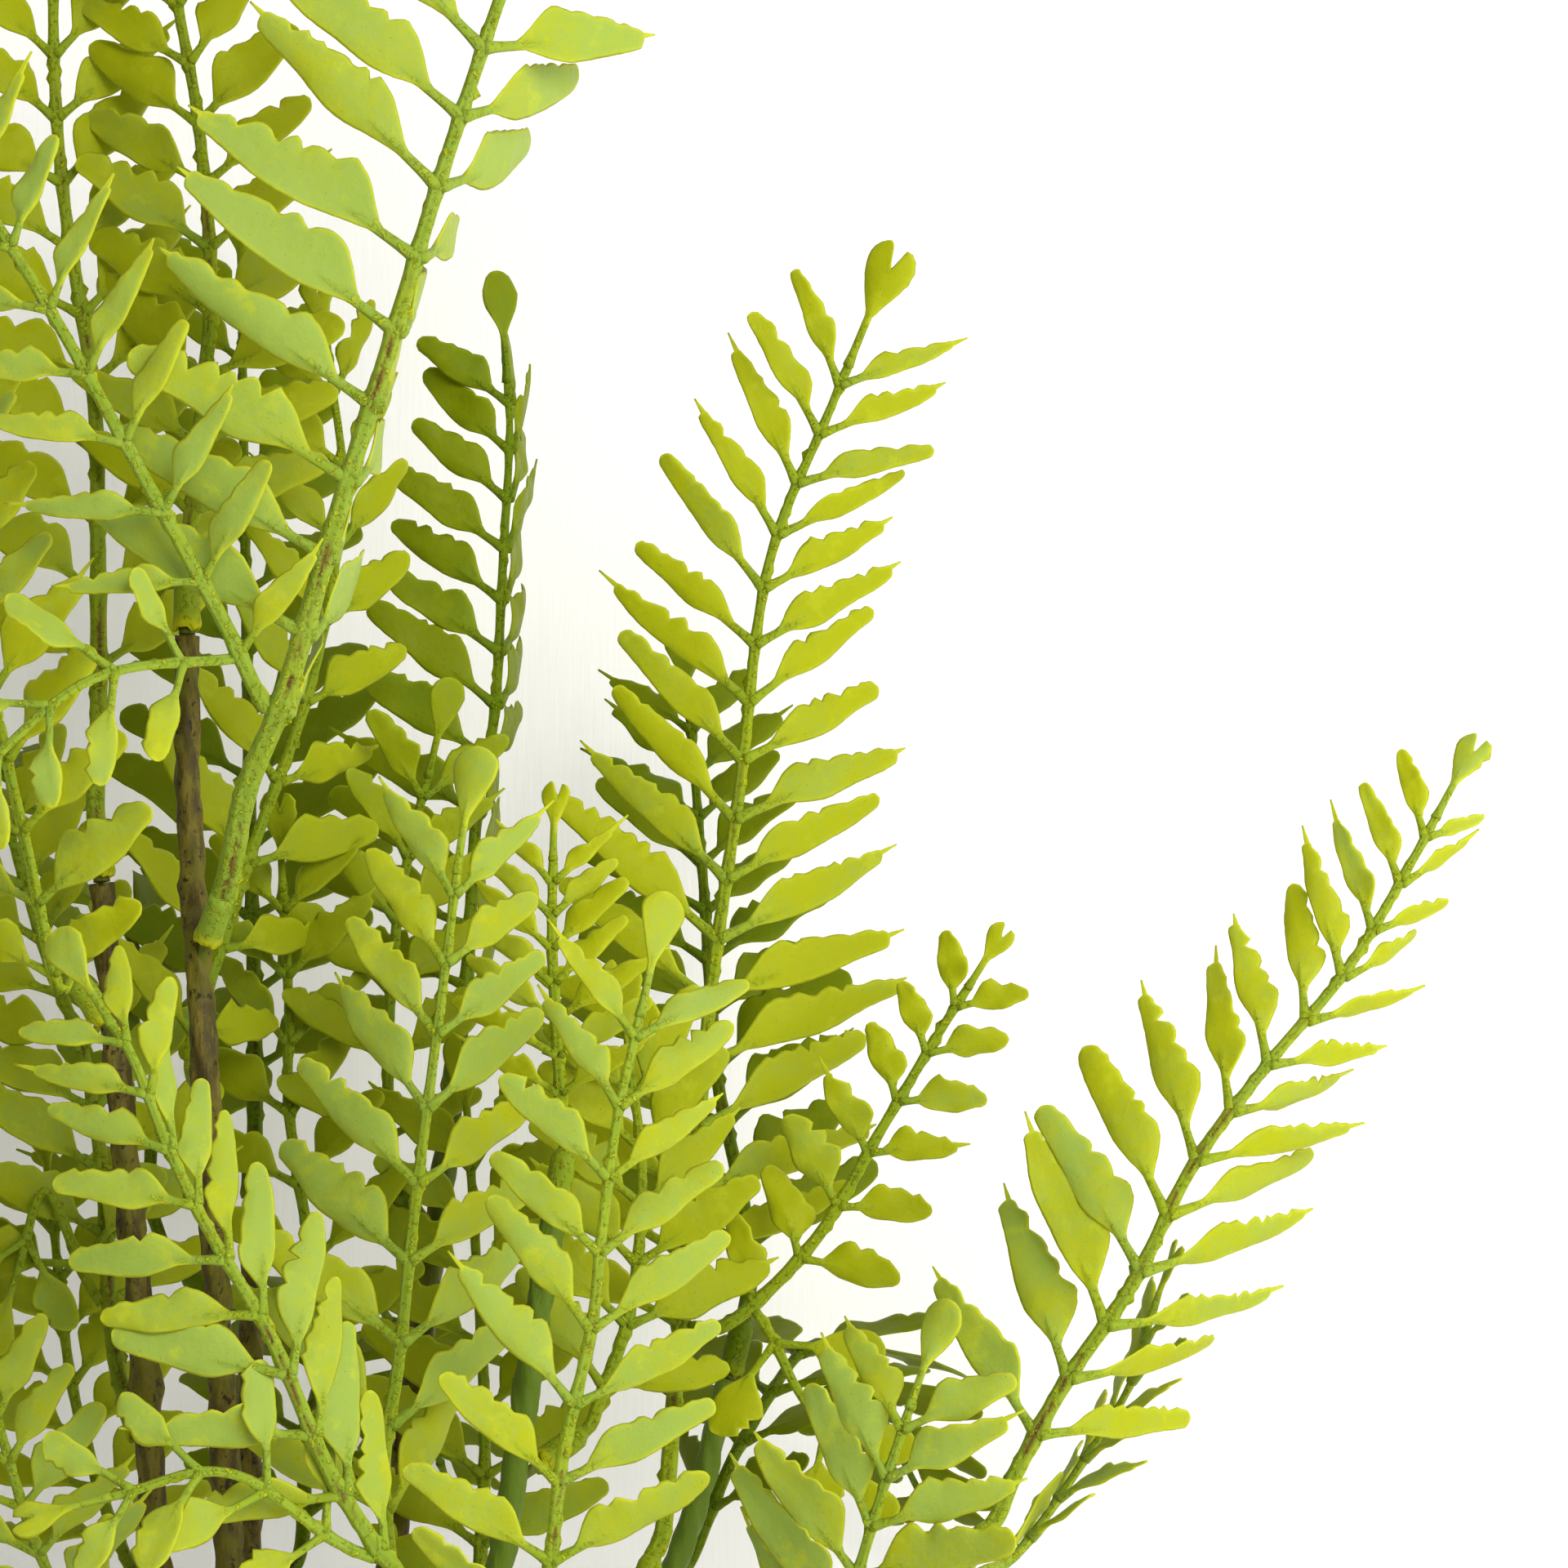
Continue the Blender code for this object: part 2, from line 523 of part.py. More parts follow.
TRIALS = [(0, 0, 0, 1), (12, 0, 0, 1), (-12, 0, 0, 1), (0, -8, 14, 1), (22, -4, 0, .97), (-22, -4, 0, .97), (0, 8, -14, .97),
          (34, -8, 0, .94), (-34, -8, 0, .94), (12, -16, 24, .9), (-12, -16, -24, .9), (46, 0, 0, .9), (-46, 0, 0, .9),
          (0, 0, 0, .8), (22, -8, 20, .8), (-22, -8, -20, .8), (58, -10, 0, .8), (-58, -10, 0, .8), (0, -16, 0, .66),
          (30, 0, 0, .66), (-30, 0, 0, .66), (0, 0, 0, .5), (30, -10, 0, .5), (-30, -10, 0, .5), (50, -10, 0, .5),
          (-50, -10, 0, .5), (0, -20, 0, .38), (40, -20, 0, .38), (-40, -20, 0, .38)]


def planLeaf(rib, k, side, rng, crowd):
    spec = rib["spec"]
    count = len(rib["spots"])
    t = k / max(count - 1, 1)
    size = spec["leaf"] * LEAF_SCALE * (1 - spec.get("tipDrop", .3) * t ** 1.4) * (.86 + .14 * min(1, t * 5))
    if side > 0:
        turnAt = spec.get("turnAt", 0)
        lift = spec["right"] + (spec.get("rightTip", spec["right"]) - spec["right"]) * min(1, max(0, t - turnAt) * 2.5)
    else:
        lift = spec["left"]
    size *= 1 + rng.uniform(-.07, .07)
    angle = spec.get("angle", 61) if side < 0 else spec.get("angleRight", spec.get("angle", 61))
    angle += -16 * t + rng.uniform(-5, 5)
    lift += rng.uniform(-7, 7)
    bend = math.radians(rng.uniform(4, 26))
    roll = rng.uniform(-12, 12)
    spatula = spec.get("spatula", False)
    width = LEAF_WIDTH * (1.15 if spatula else 1)
    dist = rib["spots"][k] + STALK_FOOT * .5
    for addLift, addAngle, addRoll, shrink in TRIALS:
        leaf = leafAt(rib, side, dist, math.radians(angle + addAngle), math.radians(max(-84, min(84, lift + addLift))),
                      size * shrink, size * shrink * width, bend, math.radians(roll + addRoll), spatula)
        wide = leafShell(leaf, KEEP_APART)
        tight = leafShell(leaf, .0001)
        own, mine = rib["owner"], id(rib)
        if crowd.meets(*wide, lambda owner, part: owner == own):
            continue
        if crowd.meets(*tight, lambda owner, part: owner != own or part == mine):
            continue
        crowd.add(*tight, own, None)
        return leaf
    return None


def planEnd(rib, crowd):
    """The leaflet that ends a rib."""
    spec = rib["spec"]
    spot, way, normal, right = frame(rib, rib["path"].length)
    base = spec["leaf"] * LEAF_SCALE * (1 - spec.get("tipDrop", .3)) * 1.05
    own = rib["owner"]
    for shrink in (1, .8, .6, .45, .3):
        size = base * shrink
        leaf = dict(root=spot, along=way, across=right, up=normal, length=size, width=size * .42, bend=.15, side=-1,
                    spatula=True, dist=rib["path"].length)
        if not crowd.meets(*leafShell(leaf, KEEP_APART), lambda owner, part: owner == own):
            break
    crowd.add(*leafShell(leaf, .0001), own, None)
    return leaf


def planLeaves(fronds, crowd):
    rng = random.Random(SEED)
    lost = 0
    for frond in fronds:
        for rib in frond["ribs"]:
            rib["end"] = planEnd(rib, crowd)
    for frond in fronds:
        for rib in frond["ribs"]:
            taken = {(pair, side) for pair, side, child in rib["limbs"]}
            rib["leaves"] = {}
            for k in range(len(rib["spots"])):
                for side in (-1, 1):
                    if (k, side) in taken:
                        continue
                    leaf = planLeaf(rib, k, side, rng, crowd)
                    if leaf is None:
                        lost += 1
                    else:
                        rib["leaves"][k, side] = leaf
    print("leaflets left out:", lost)


# ---- solids ----

class Shape:
    def __init__(self):
        self.verts = []
        self.faces = []

    def add(self, *points):
        first = len(self.verts)
        self.verts += [tuple(p) for p in points]
        return list(range(first, first + len(points)))

    def band(self, low, high, skip=()):
        count = len(low)
        for k in range(count):
            if k not in skip:
                n = (k + 1) % count
                self.faces.append((low[k], low[n], high[n], high[k]))


def ribRing(shape, spot, right, normal, half):
    tall = half * .92
    return shape.add(spot - right * half + normal * tall, spot + right * half + normal * tall,
                     spot + right * half - normal * tall, spot - right * half - normal * tall)


def leafSolid(shape, quad, leaf):
    """Leaflet grown out of four corners: left top, right top, right under, left under."""
    rows = SPATULA_ROWS if leaf["spatula"] else BLADE_ROWS
    hand = -leaf["side"]
    last = None
    for part, high, low, thick in rows:
        spot, along, up = leafSpot(leaf, part)
        across = leaf["across"] * hand
        left, right = (low, high) if hand > 0 else (high, low)
        ring = shape.add(spot - across * left * leaf["width"], spot + up * LEAF_RIDGE * thick,
                         spot + across * right * leaf["width"])
        if last is None:
            a, b, c, d = quad
            l, m, r = ring
            shape.faces += [(a, m, l), (a, b, m), (b, r, m), (b, c, r), (c, d, l, r), (d, a, l)]
        else:
            shape.band(last, ring)
        last = ring
    tip = shape.add(leafSpot(leaf, 1.0)[0])[0]
    for k in range(3):
        shape.faces.append((last[k], last[(k + 1) % 3], tip))


def ribSolid(shape, rib, first):
    """Rib from its first ring to its end leaflet, with every leaflet and side branch on it."""
    limbs = {(pair, side): child for pair, side, child in rib["limbs"]}
    last = first
    spots = rib["spots"]
    for k, dist in enumerate(spots):
        low = ribRing(shape, *[frame(rib, dist)[i] for i in (0, 3, 2)], ribHalf(rib, dist))
        high = ribRing(shape, *[frame(rib, dist + STALK_FOOT)[i] for i in (0, 3, 2)], ribHalf(rib, dist + STALK_FOOT))
        shape.band(last, low)
        skip = []
        for side, face, quad in ((-1, 3, (low[0], high[0], high[3], low[3])), (1, 1, (high[1], low[1], low[2], high[2]))):
            if (k, side) in limbs:
                skip.append(face)
                ribSolid(shape, limbs[k, side], list(quad))
            elif (k, side) in rib["leaves"]:
                skip.append(face)
                leafSolid(shape, quad, rib["leaves"][k, side])
        shape.band(low, high, skip)
        last = high
        nextDist = spots[k + 1] if k + 1 < len(spots) else rib["path"].length
        if nextDist - dist > .018:
            count = int((nextDist - dist) / .010)
            last = ribRun(shape, rib, last, dist + STALK_FOOT, nextDist, count)
    leafSolid(shape, last, rib["end"])


def ribRun(shape, rib, last, begin, end, count):
    for i in range(1, count):
        dist = begin + (end - begin) * i / count
        spot, way, normal, right = frame(rib, dist)
        ring = ribRing(shape, spot, right, normal, ribHalf(rib, dist))
        shape.band(last, ring)
        last = ring
    return last


def sleeveRings(shape, rib):
    """Open sleeve at the foot of a frond: its outside, its mouth and the blind hole for the peg."""
    hole = PEG_HALF + FIT_GAP
    outer = max(hole + SLEEVE_WALL, rib["half"])
    spot, way, normal, right = frame(rib, 0)
    mouth = ribRing(shape, spot, right, normal, outer)
    lip = shape.add(*[spot + right * x * hole + normal * y * hole for x, y in ((-1, 1), (1, 1), (1, -1), (-1, -1))])
    deep = spot + way * (PEG_LENGTH + FIT_GAP)
    floor = shape.add(*[deep + right * x * hole + normal * y * hole for x, y in ((-1, 1), (1, 1), (1, -1), (-1, -1))])
    shape.band(lip, mouth)
    shape.band(floor, lip)
    shape.faces.append(tuple(floor))
    spot, way, normal, right = frame(rib, SLEEVE_LENGTH)
    neck = ribRing(shape, spot, right, normal, outer)
    shape.band(mouth, neck)
    return neck


def buildFrond(frond):
    shape = Shape()
    rib = frond["ribs"][0]
    neck = sleeveRings(shape, rib)
    begin, end = SLEEVE_LENGTH + .003, rib["spots"][0]
    spot, way, normal, right = frame(rib, begin)
    ring = ribRing(shape, spot, right, normal, ribHalf(rib, begin))
    shape.band(neck, ring)
    last = ribRun(shape, rib, ring, begin, end, max(1, int((end - begin) / .009)))
    ribSolid(shape, rib, last)
    return addObject(frond["name"], shape.verts, shape.faces, LOOKS["frond"])


def stemStations(stem):
    path = stem["path"]
    marks = [0.0, HOLE_DEPTH]
    dist = HOLE_DEPTH + .016
    while dist < path.length - .006:
        marks.append(dist)
        dist += .026
    marks.append(path.length)
    for peg in stem["pegs"]:
        if not peg["top"]:
            peg["span"] = (peg["dist"] - .0012, peg["dist"] + .0012)
            marks = [m for m in marks if abs(m - peg["dist"]) > .005] + list(peg["span"])
    return sorted(marks)


def stemRing(shape, spot, way, side, radius, count):
    over = way.cross(side)
    return shape.add(*[spot + side * math.cos(k * math.tau / count) * radius
                       + over * math.sin(k * math.tau / count) * radius for k in range(count)])


def pegEnd(shape, quad, peg):
    """Square peg from four corners of the stem's side to its end inside the sleeve."""
    normal = upright(peg["way"], peg["look"])
    right = peg["way"].cross(normal)
    rings = []
    for far in (-.0012, PEG_LENGTH):
        spot = peg["start"] + peg["way"] * far
        rings.append([spot + right * x * PEG_HALF + normal * y * PEG_HALF for x, y in ((-1, 1), (1, 1), (1, -1), (-1, -1))])
    corners = [Vector(shape.verts[i]) for i in quad]
    best = min(range(4), key=lambda turn: sum((rings[0][(i + turn) % 4] - corners[i]).length for i in range(4)))
    near = shape.add(*[rings[0][(i + best) % 4] for i in range(4)])
    far = shape.add(*[rings[1][(i + best) % 4] for i in range(4)])
    shape.band(quad, near)
    shape.band(near, far)
    shape.faces.append(tuple(far))


def buildStem(name, stem):
    shape = Shape()
    path = stem["path"]
    marks = stemStations(stem)
    side = Vector((1, 0, 0))
    last = None
    for i, dist in enumerate(marks):
        spot, way = path.at(dist)
        side = upright(way, side)
        ring = stemRing(shape, spot, way, side, stemRadius(stem, dist), STEM_SIDES)
        if last is None:
            shape.faces.append(tuple(ring[::-1]))
        else:
            peg = next((p for p in stem["pegs"] if not p["top"] and abs(p["span"][1] - dist) < 1e-9), None)
            skip = []
            if peg:
                middle = (path.at(peg["dist"])[0])
                out = peg["start"] - middle
                best = max(range(STEM_SIDES), key=lambda k: (Vector(shape.verts[ring[k]])
                           + Vector(shape.verts[ring[(k + 1) % STEM_SIDES]]) - spot * 2).dot(out))
                skip = [best]
                after = (best + 1) % STEM_SIDES
                pegEnd(shape, [last[best], last[after], ring[after], ring[best]], peg)
            shape.band(last, ring, skip)
        last = ring
    top = next((p for p in stem["pegs"] if p["top"]), None)
    spot, way = path.at(path.length)
    if top:
        low = stemRing(shape, spot + way * .0006, way, side, PEG_HALF, STEM_SIDES)
        high = stemRing(shape, top["start"] + way * PEG_LENGTH, way, side, PEG_HALF, STEM_SIDES)
        shape.band(last, low)
        shape.band(low, high)
        last = high
    shape.faces.append(tuple(last))
    return addObject(name, shape.verts, shape.faces, LOOKS["stem"], True)


def lathe(name, profile, look, sides):
    """Solid turned from a closed outline of (radius, height); a radius of 0 is a point on the axis."""
    shape = Shape()
    rings = []
    for radius, height in profile:
        if radius < 1e-6:
            rings.append(shape.add((0, 0, height)))
        else:
            turn = [math.tau * k / sides for k in range(sides)]
            rings.append(shape.add(*[(math.cos(a) * radius, math.sin(a) * radius, height) for a in turn]))
    for low, high in zip(rings, rings[1:]):
        if len(low) == 1:
            shape.faces += [(low[0], high[k], high[(k + 1) % sides]) for k in range(sides)]
        elif len(high) == 1:
            shape.faces += [(low[k], low[(k + 1) % sides], high[0]) for k in range(sides)]
        else:
            shape.band(low, high)
    return addObject(name, shape.verts, shape.faces, look, True)


def wallAt(height):
    return POT_FOOT_RADIUS + (POT_MOUTH_RADIUS - POT_FOOT_RADIUS) * height / POT_HEIGHT


def buildPot():
    lip = POT_HEIGHT - RIM_HEIGHT
    out = wallAt(lip) + RIM_OVERHANG
    profile = [
        (0, 0), (POT_FOOT_RADIUS - .0015, 0), (POT_FOOT_RADIUS, .0015), (wallAt(lip), lip), (out - .001, lip),
        (out, lip + .001), (out + .0006, POT_HEIGHT - .0015), (out - .001, POT_HEIGHT),
        (wallAt(POT_HEIGHT) - POT_WALL + .001, POT_HEIGHT), (wallAt(POT_HEIGHT) - POT_WALL, POT_HEIGHT - .0015),
        (wallAt(POT_FLOOR) - POT_WALL, POT_FLOOR), (0, POT_FLOOR),
    ]
    return lathe("pot", profile, LOOKS["pot"], POT_SIDES)


def buildFilling(stems):
    inner = lambda z: wallAt(z) - POT_WALL - FIT_GAP * 1.3
    low = POT_FLOOR + FIT_GAP
    profile = [(0, low), (inner(low) - .0004, low), (inner(FILLING_TOP - .003), FILLING_TOP - .003),
               (inner(FILLING_TOP) - .002, FILLING_TOP - .001), (.040, FILLING_TOP), (0, FILLING_TOP)]
    block = lathe("filling", profile, LOOKS["filling"], POT_SIDES)
    cutters = Shape()
    for stem in stems.values():
        foot = stem["path"].points[0]
        radius = STEM_FOOT_RADIUS / math.cos(math.pi / STEM_SIDES) + FIT_GAP
        rings = []
        for z in (FILLING_TOP - HOLE_DEPTH, FILLING_TOP + .01):
            turn = [-math.tau * k / STEM_SIDES for k in range(STEM_SIDES)]
            rings.append(cutters.add(*[(foot.x + math.cos(a) * radius, foot.y + math.sin(a) * radius, z) for a in turn]))
        cutters.band(rings[0], rings[1])
        cutters.faces += [tuple(rings[0]), tuple(reversed(rings[1]))]
    tool = addObject("hole_cutter", cutters.verts, cutters.faces, LOOKS["filling"])
    cut = block.modifiers.new("stem holes", "BOOLEAN")
    cut.operation, cut.solver, cut.object, cut.use_self = "DIFFERENCE", "EXACT", tool, True
    graph = bpy.context.evaluated_depsgraph_get()
    mesh = bpy.data.meshes.new_from_object(block.evaluated_get(graph))
    block.modifiers.clear()
    block.data = mesh
    bpy.data.objects.remove(tool, do_unlink=True)
    return block


def main():
    clearScene()
    stems = planStems()
    crowd = Crowd()
    fronds = planFronds(stems, crowd)
    pot = buildPot()
    block = buildFilling(stems)
    for item in (pot, block):
        verts = [v.co.copy() for v in item.data.vertices]
        crowd.add(verts, [tuple(p.vertices) for p in item.data.polygons], item.name)
    planLeaves(fronds, crowd)
    for name, stem in stems.items():
        buildStem(name, stem)
    for frond in fronds:
        buildFrond(frond)
    total = sum(len(o.data.polygons) for o in bpy.data.objects)
    print("faces", total, "leaflets", sum(len(r["leaves"]) for f in fronds for r in f["ribs"]))


main()
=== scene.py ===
import json
import math
import random

import bmesh
import bpy
import numpy as np
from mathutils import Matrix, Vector
from mathutils.bvhtree import BVHTree

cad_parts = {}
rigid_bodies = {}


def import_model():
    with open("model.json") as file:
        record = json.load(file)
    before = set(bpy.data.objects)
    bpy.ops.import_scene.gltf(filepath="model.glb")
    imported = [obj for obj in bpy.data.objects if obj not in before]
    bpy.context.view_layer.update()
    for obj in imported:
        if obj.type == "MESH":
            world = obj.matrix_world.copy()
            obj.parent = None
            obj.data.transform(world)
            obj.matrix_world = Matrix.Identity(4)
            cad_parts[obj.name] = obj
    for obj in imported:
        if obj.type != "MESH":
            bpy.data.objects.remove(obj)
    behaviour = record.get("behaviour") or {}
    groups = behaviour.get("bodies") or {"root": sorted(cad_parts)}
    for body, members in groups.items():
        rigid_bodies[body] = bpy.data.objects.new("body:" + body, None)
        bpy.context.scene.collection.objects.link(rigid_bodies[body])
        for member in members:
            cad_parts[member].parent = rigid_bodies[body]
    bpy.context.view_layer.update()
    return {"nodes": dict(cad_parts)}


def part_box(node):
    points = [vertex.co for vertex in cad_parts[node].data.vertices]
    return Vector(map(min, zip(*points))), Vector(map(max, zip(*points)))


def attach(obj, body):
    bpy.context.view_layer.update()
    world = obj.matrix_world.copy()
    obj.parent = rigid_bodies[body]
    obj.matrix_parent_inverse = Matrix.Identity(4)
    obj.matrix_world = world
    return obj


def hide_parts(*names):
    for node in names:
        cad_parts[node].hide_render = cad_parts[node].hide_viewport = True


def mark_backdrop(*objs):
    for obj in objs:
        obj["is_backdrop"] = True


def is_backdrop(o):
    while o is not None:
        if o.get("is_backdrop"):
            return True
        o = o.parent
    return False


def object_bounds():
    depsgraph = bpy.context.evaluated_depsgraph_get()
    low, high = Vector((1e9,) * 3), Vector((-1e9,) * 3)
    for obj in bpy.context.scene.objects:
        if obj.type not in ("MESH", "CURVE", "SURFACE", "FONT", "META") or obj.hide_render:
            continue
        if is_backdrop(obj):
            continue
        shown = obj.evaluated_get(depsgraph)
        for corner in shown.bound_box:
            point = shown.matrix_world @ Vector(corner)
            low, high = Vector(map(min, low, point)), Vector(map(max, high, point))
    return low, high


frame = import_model()
cadNodes = frame["nodes"]
print("frame loaded:", len(cadNodes), "pieces")

# sizes in metres, as the solids have them
potMake = {"height": .130, "footRadius": .056, "mouthRadius": .073, "wall": .0032, "floor": .004,
           "rimHeight": .014, "rimOverhang": .0045, "fillingTop": .112, "fitGap": .0003}
stemMake = {"holeDepth": .050, "footRadius": .0032, "topRadius": .0023, "pegHalf": .00105,
            "pegReach": .0052, "pegRoot": .0066, "pegRootTop": .0012}
frondMake = {"spread": 1.0, "rise": 1.0, "leafScale": 1.0, "leafWidth": .31, "leafRidge": .0011,
             "sleeveWall": .0011, "sleeveLength": .0095, "sleeveStandoff": .0068, "ribTipHalf": .0007,
             "stalkFoot": .0024, "keepApart": .0007, "ownGap": .0001, "topGap": .0016,
             "sideStep": .004, "seed": 41}

# one line per stem: name, then the points it runs through above its straight foot
stemLines = [
    ("stem_01", [(-.009, -.008, .130), (-.018, -.013, .200), (-.0235, -.015, .253),
                 (-.026, -.015, .292), (-.031, -.012, .345), (-.0345, -.008, .381)]),
    ("stem_02", [(-.001, -.019, .130), (-.006, -.025, .200), (-.0095, -.027, .269),
                 (-.0125, -.026, .330), (-.015, -.023, .366), (-.0175, -.016, .400),
                 (-.018, -.012, .428)]),
    ("stem_03", [(.021, .006, .130), (.044, .014, .185), (.060, .020, .220), (.066, .022, .238)]),
    ("stem_04", [(.024, -.010, .130), (.058, -.016, .172), (.096, -.020, .212), (.1265, -.020, .250)]),
    ("stem_05", [(.012, -.001, .130), (.027, -.001, .190), (.039, -.002, .240), (.047, -.003, .290),
                 (.0515, -.004, .318)]),
    ("stem_06", [(.0105, -.0185, .130), (.016, -.036, .180), (.021, -.056, .222),
                 (.0235, -.066, .243)]),
    ("stem_07", [(-.021, -.009, .130), (-.052, -.024, .185), (-.082, -.036, .240),
                 (-.098, -.040, .292)]),
    ("stem_08", [(-.020, .006, .130), (-.056, .026, .180), (-.090, .044, .232), (-.106, .052, .278)]),
    ("stem_09", [(.006, .012, .130), (.014, .026, .210), (.024, .038, .290), (.030, .045, .338)]),
    ("stem_10", [(-.006, .022, .130), (-.010, .050, .200), (-.012, .074, .265), (-.012, .086, .315)]),
    ("stem_11", [(.018, .019, .130), (.048, .046, .190), (.074, .068, .245), (.084, .076, .280)]),
    ("stem_12", [(-.0125, -.0225, .130), (-.026, -.046, .180), (-.046, -.072, .226),
                 (-.056, -.082, .256)]),
]

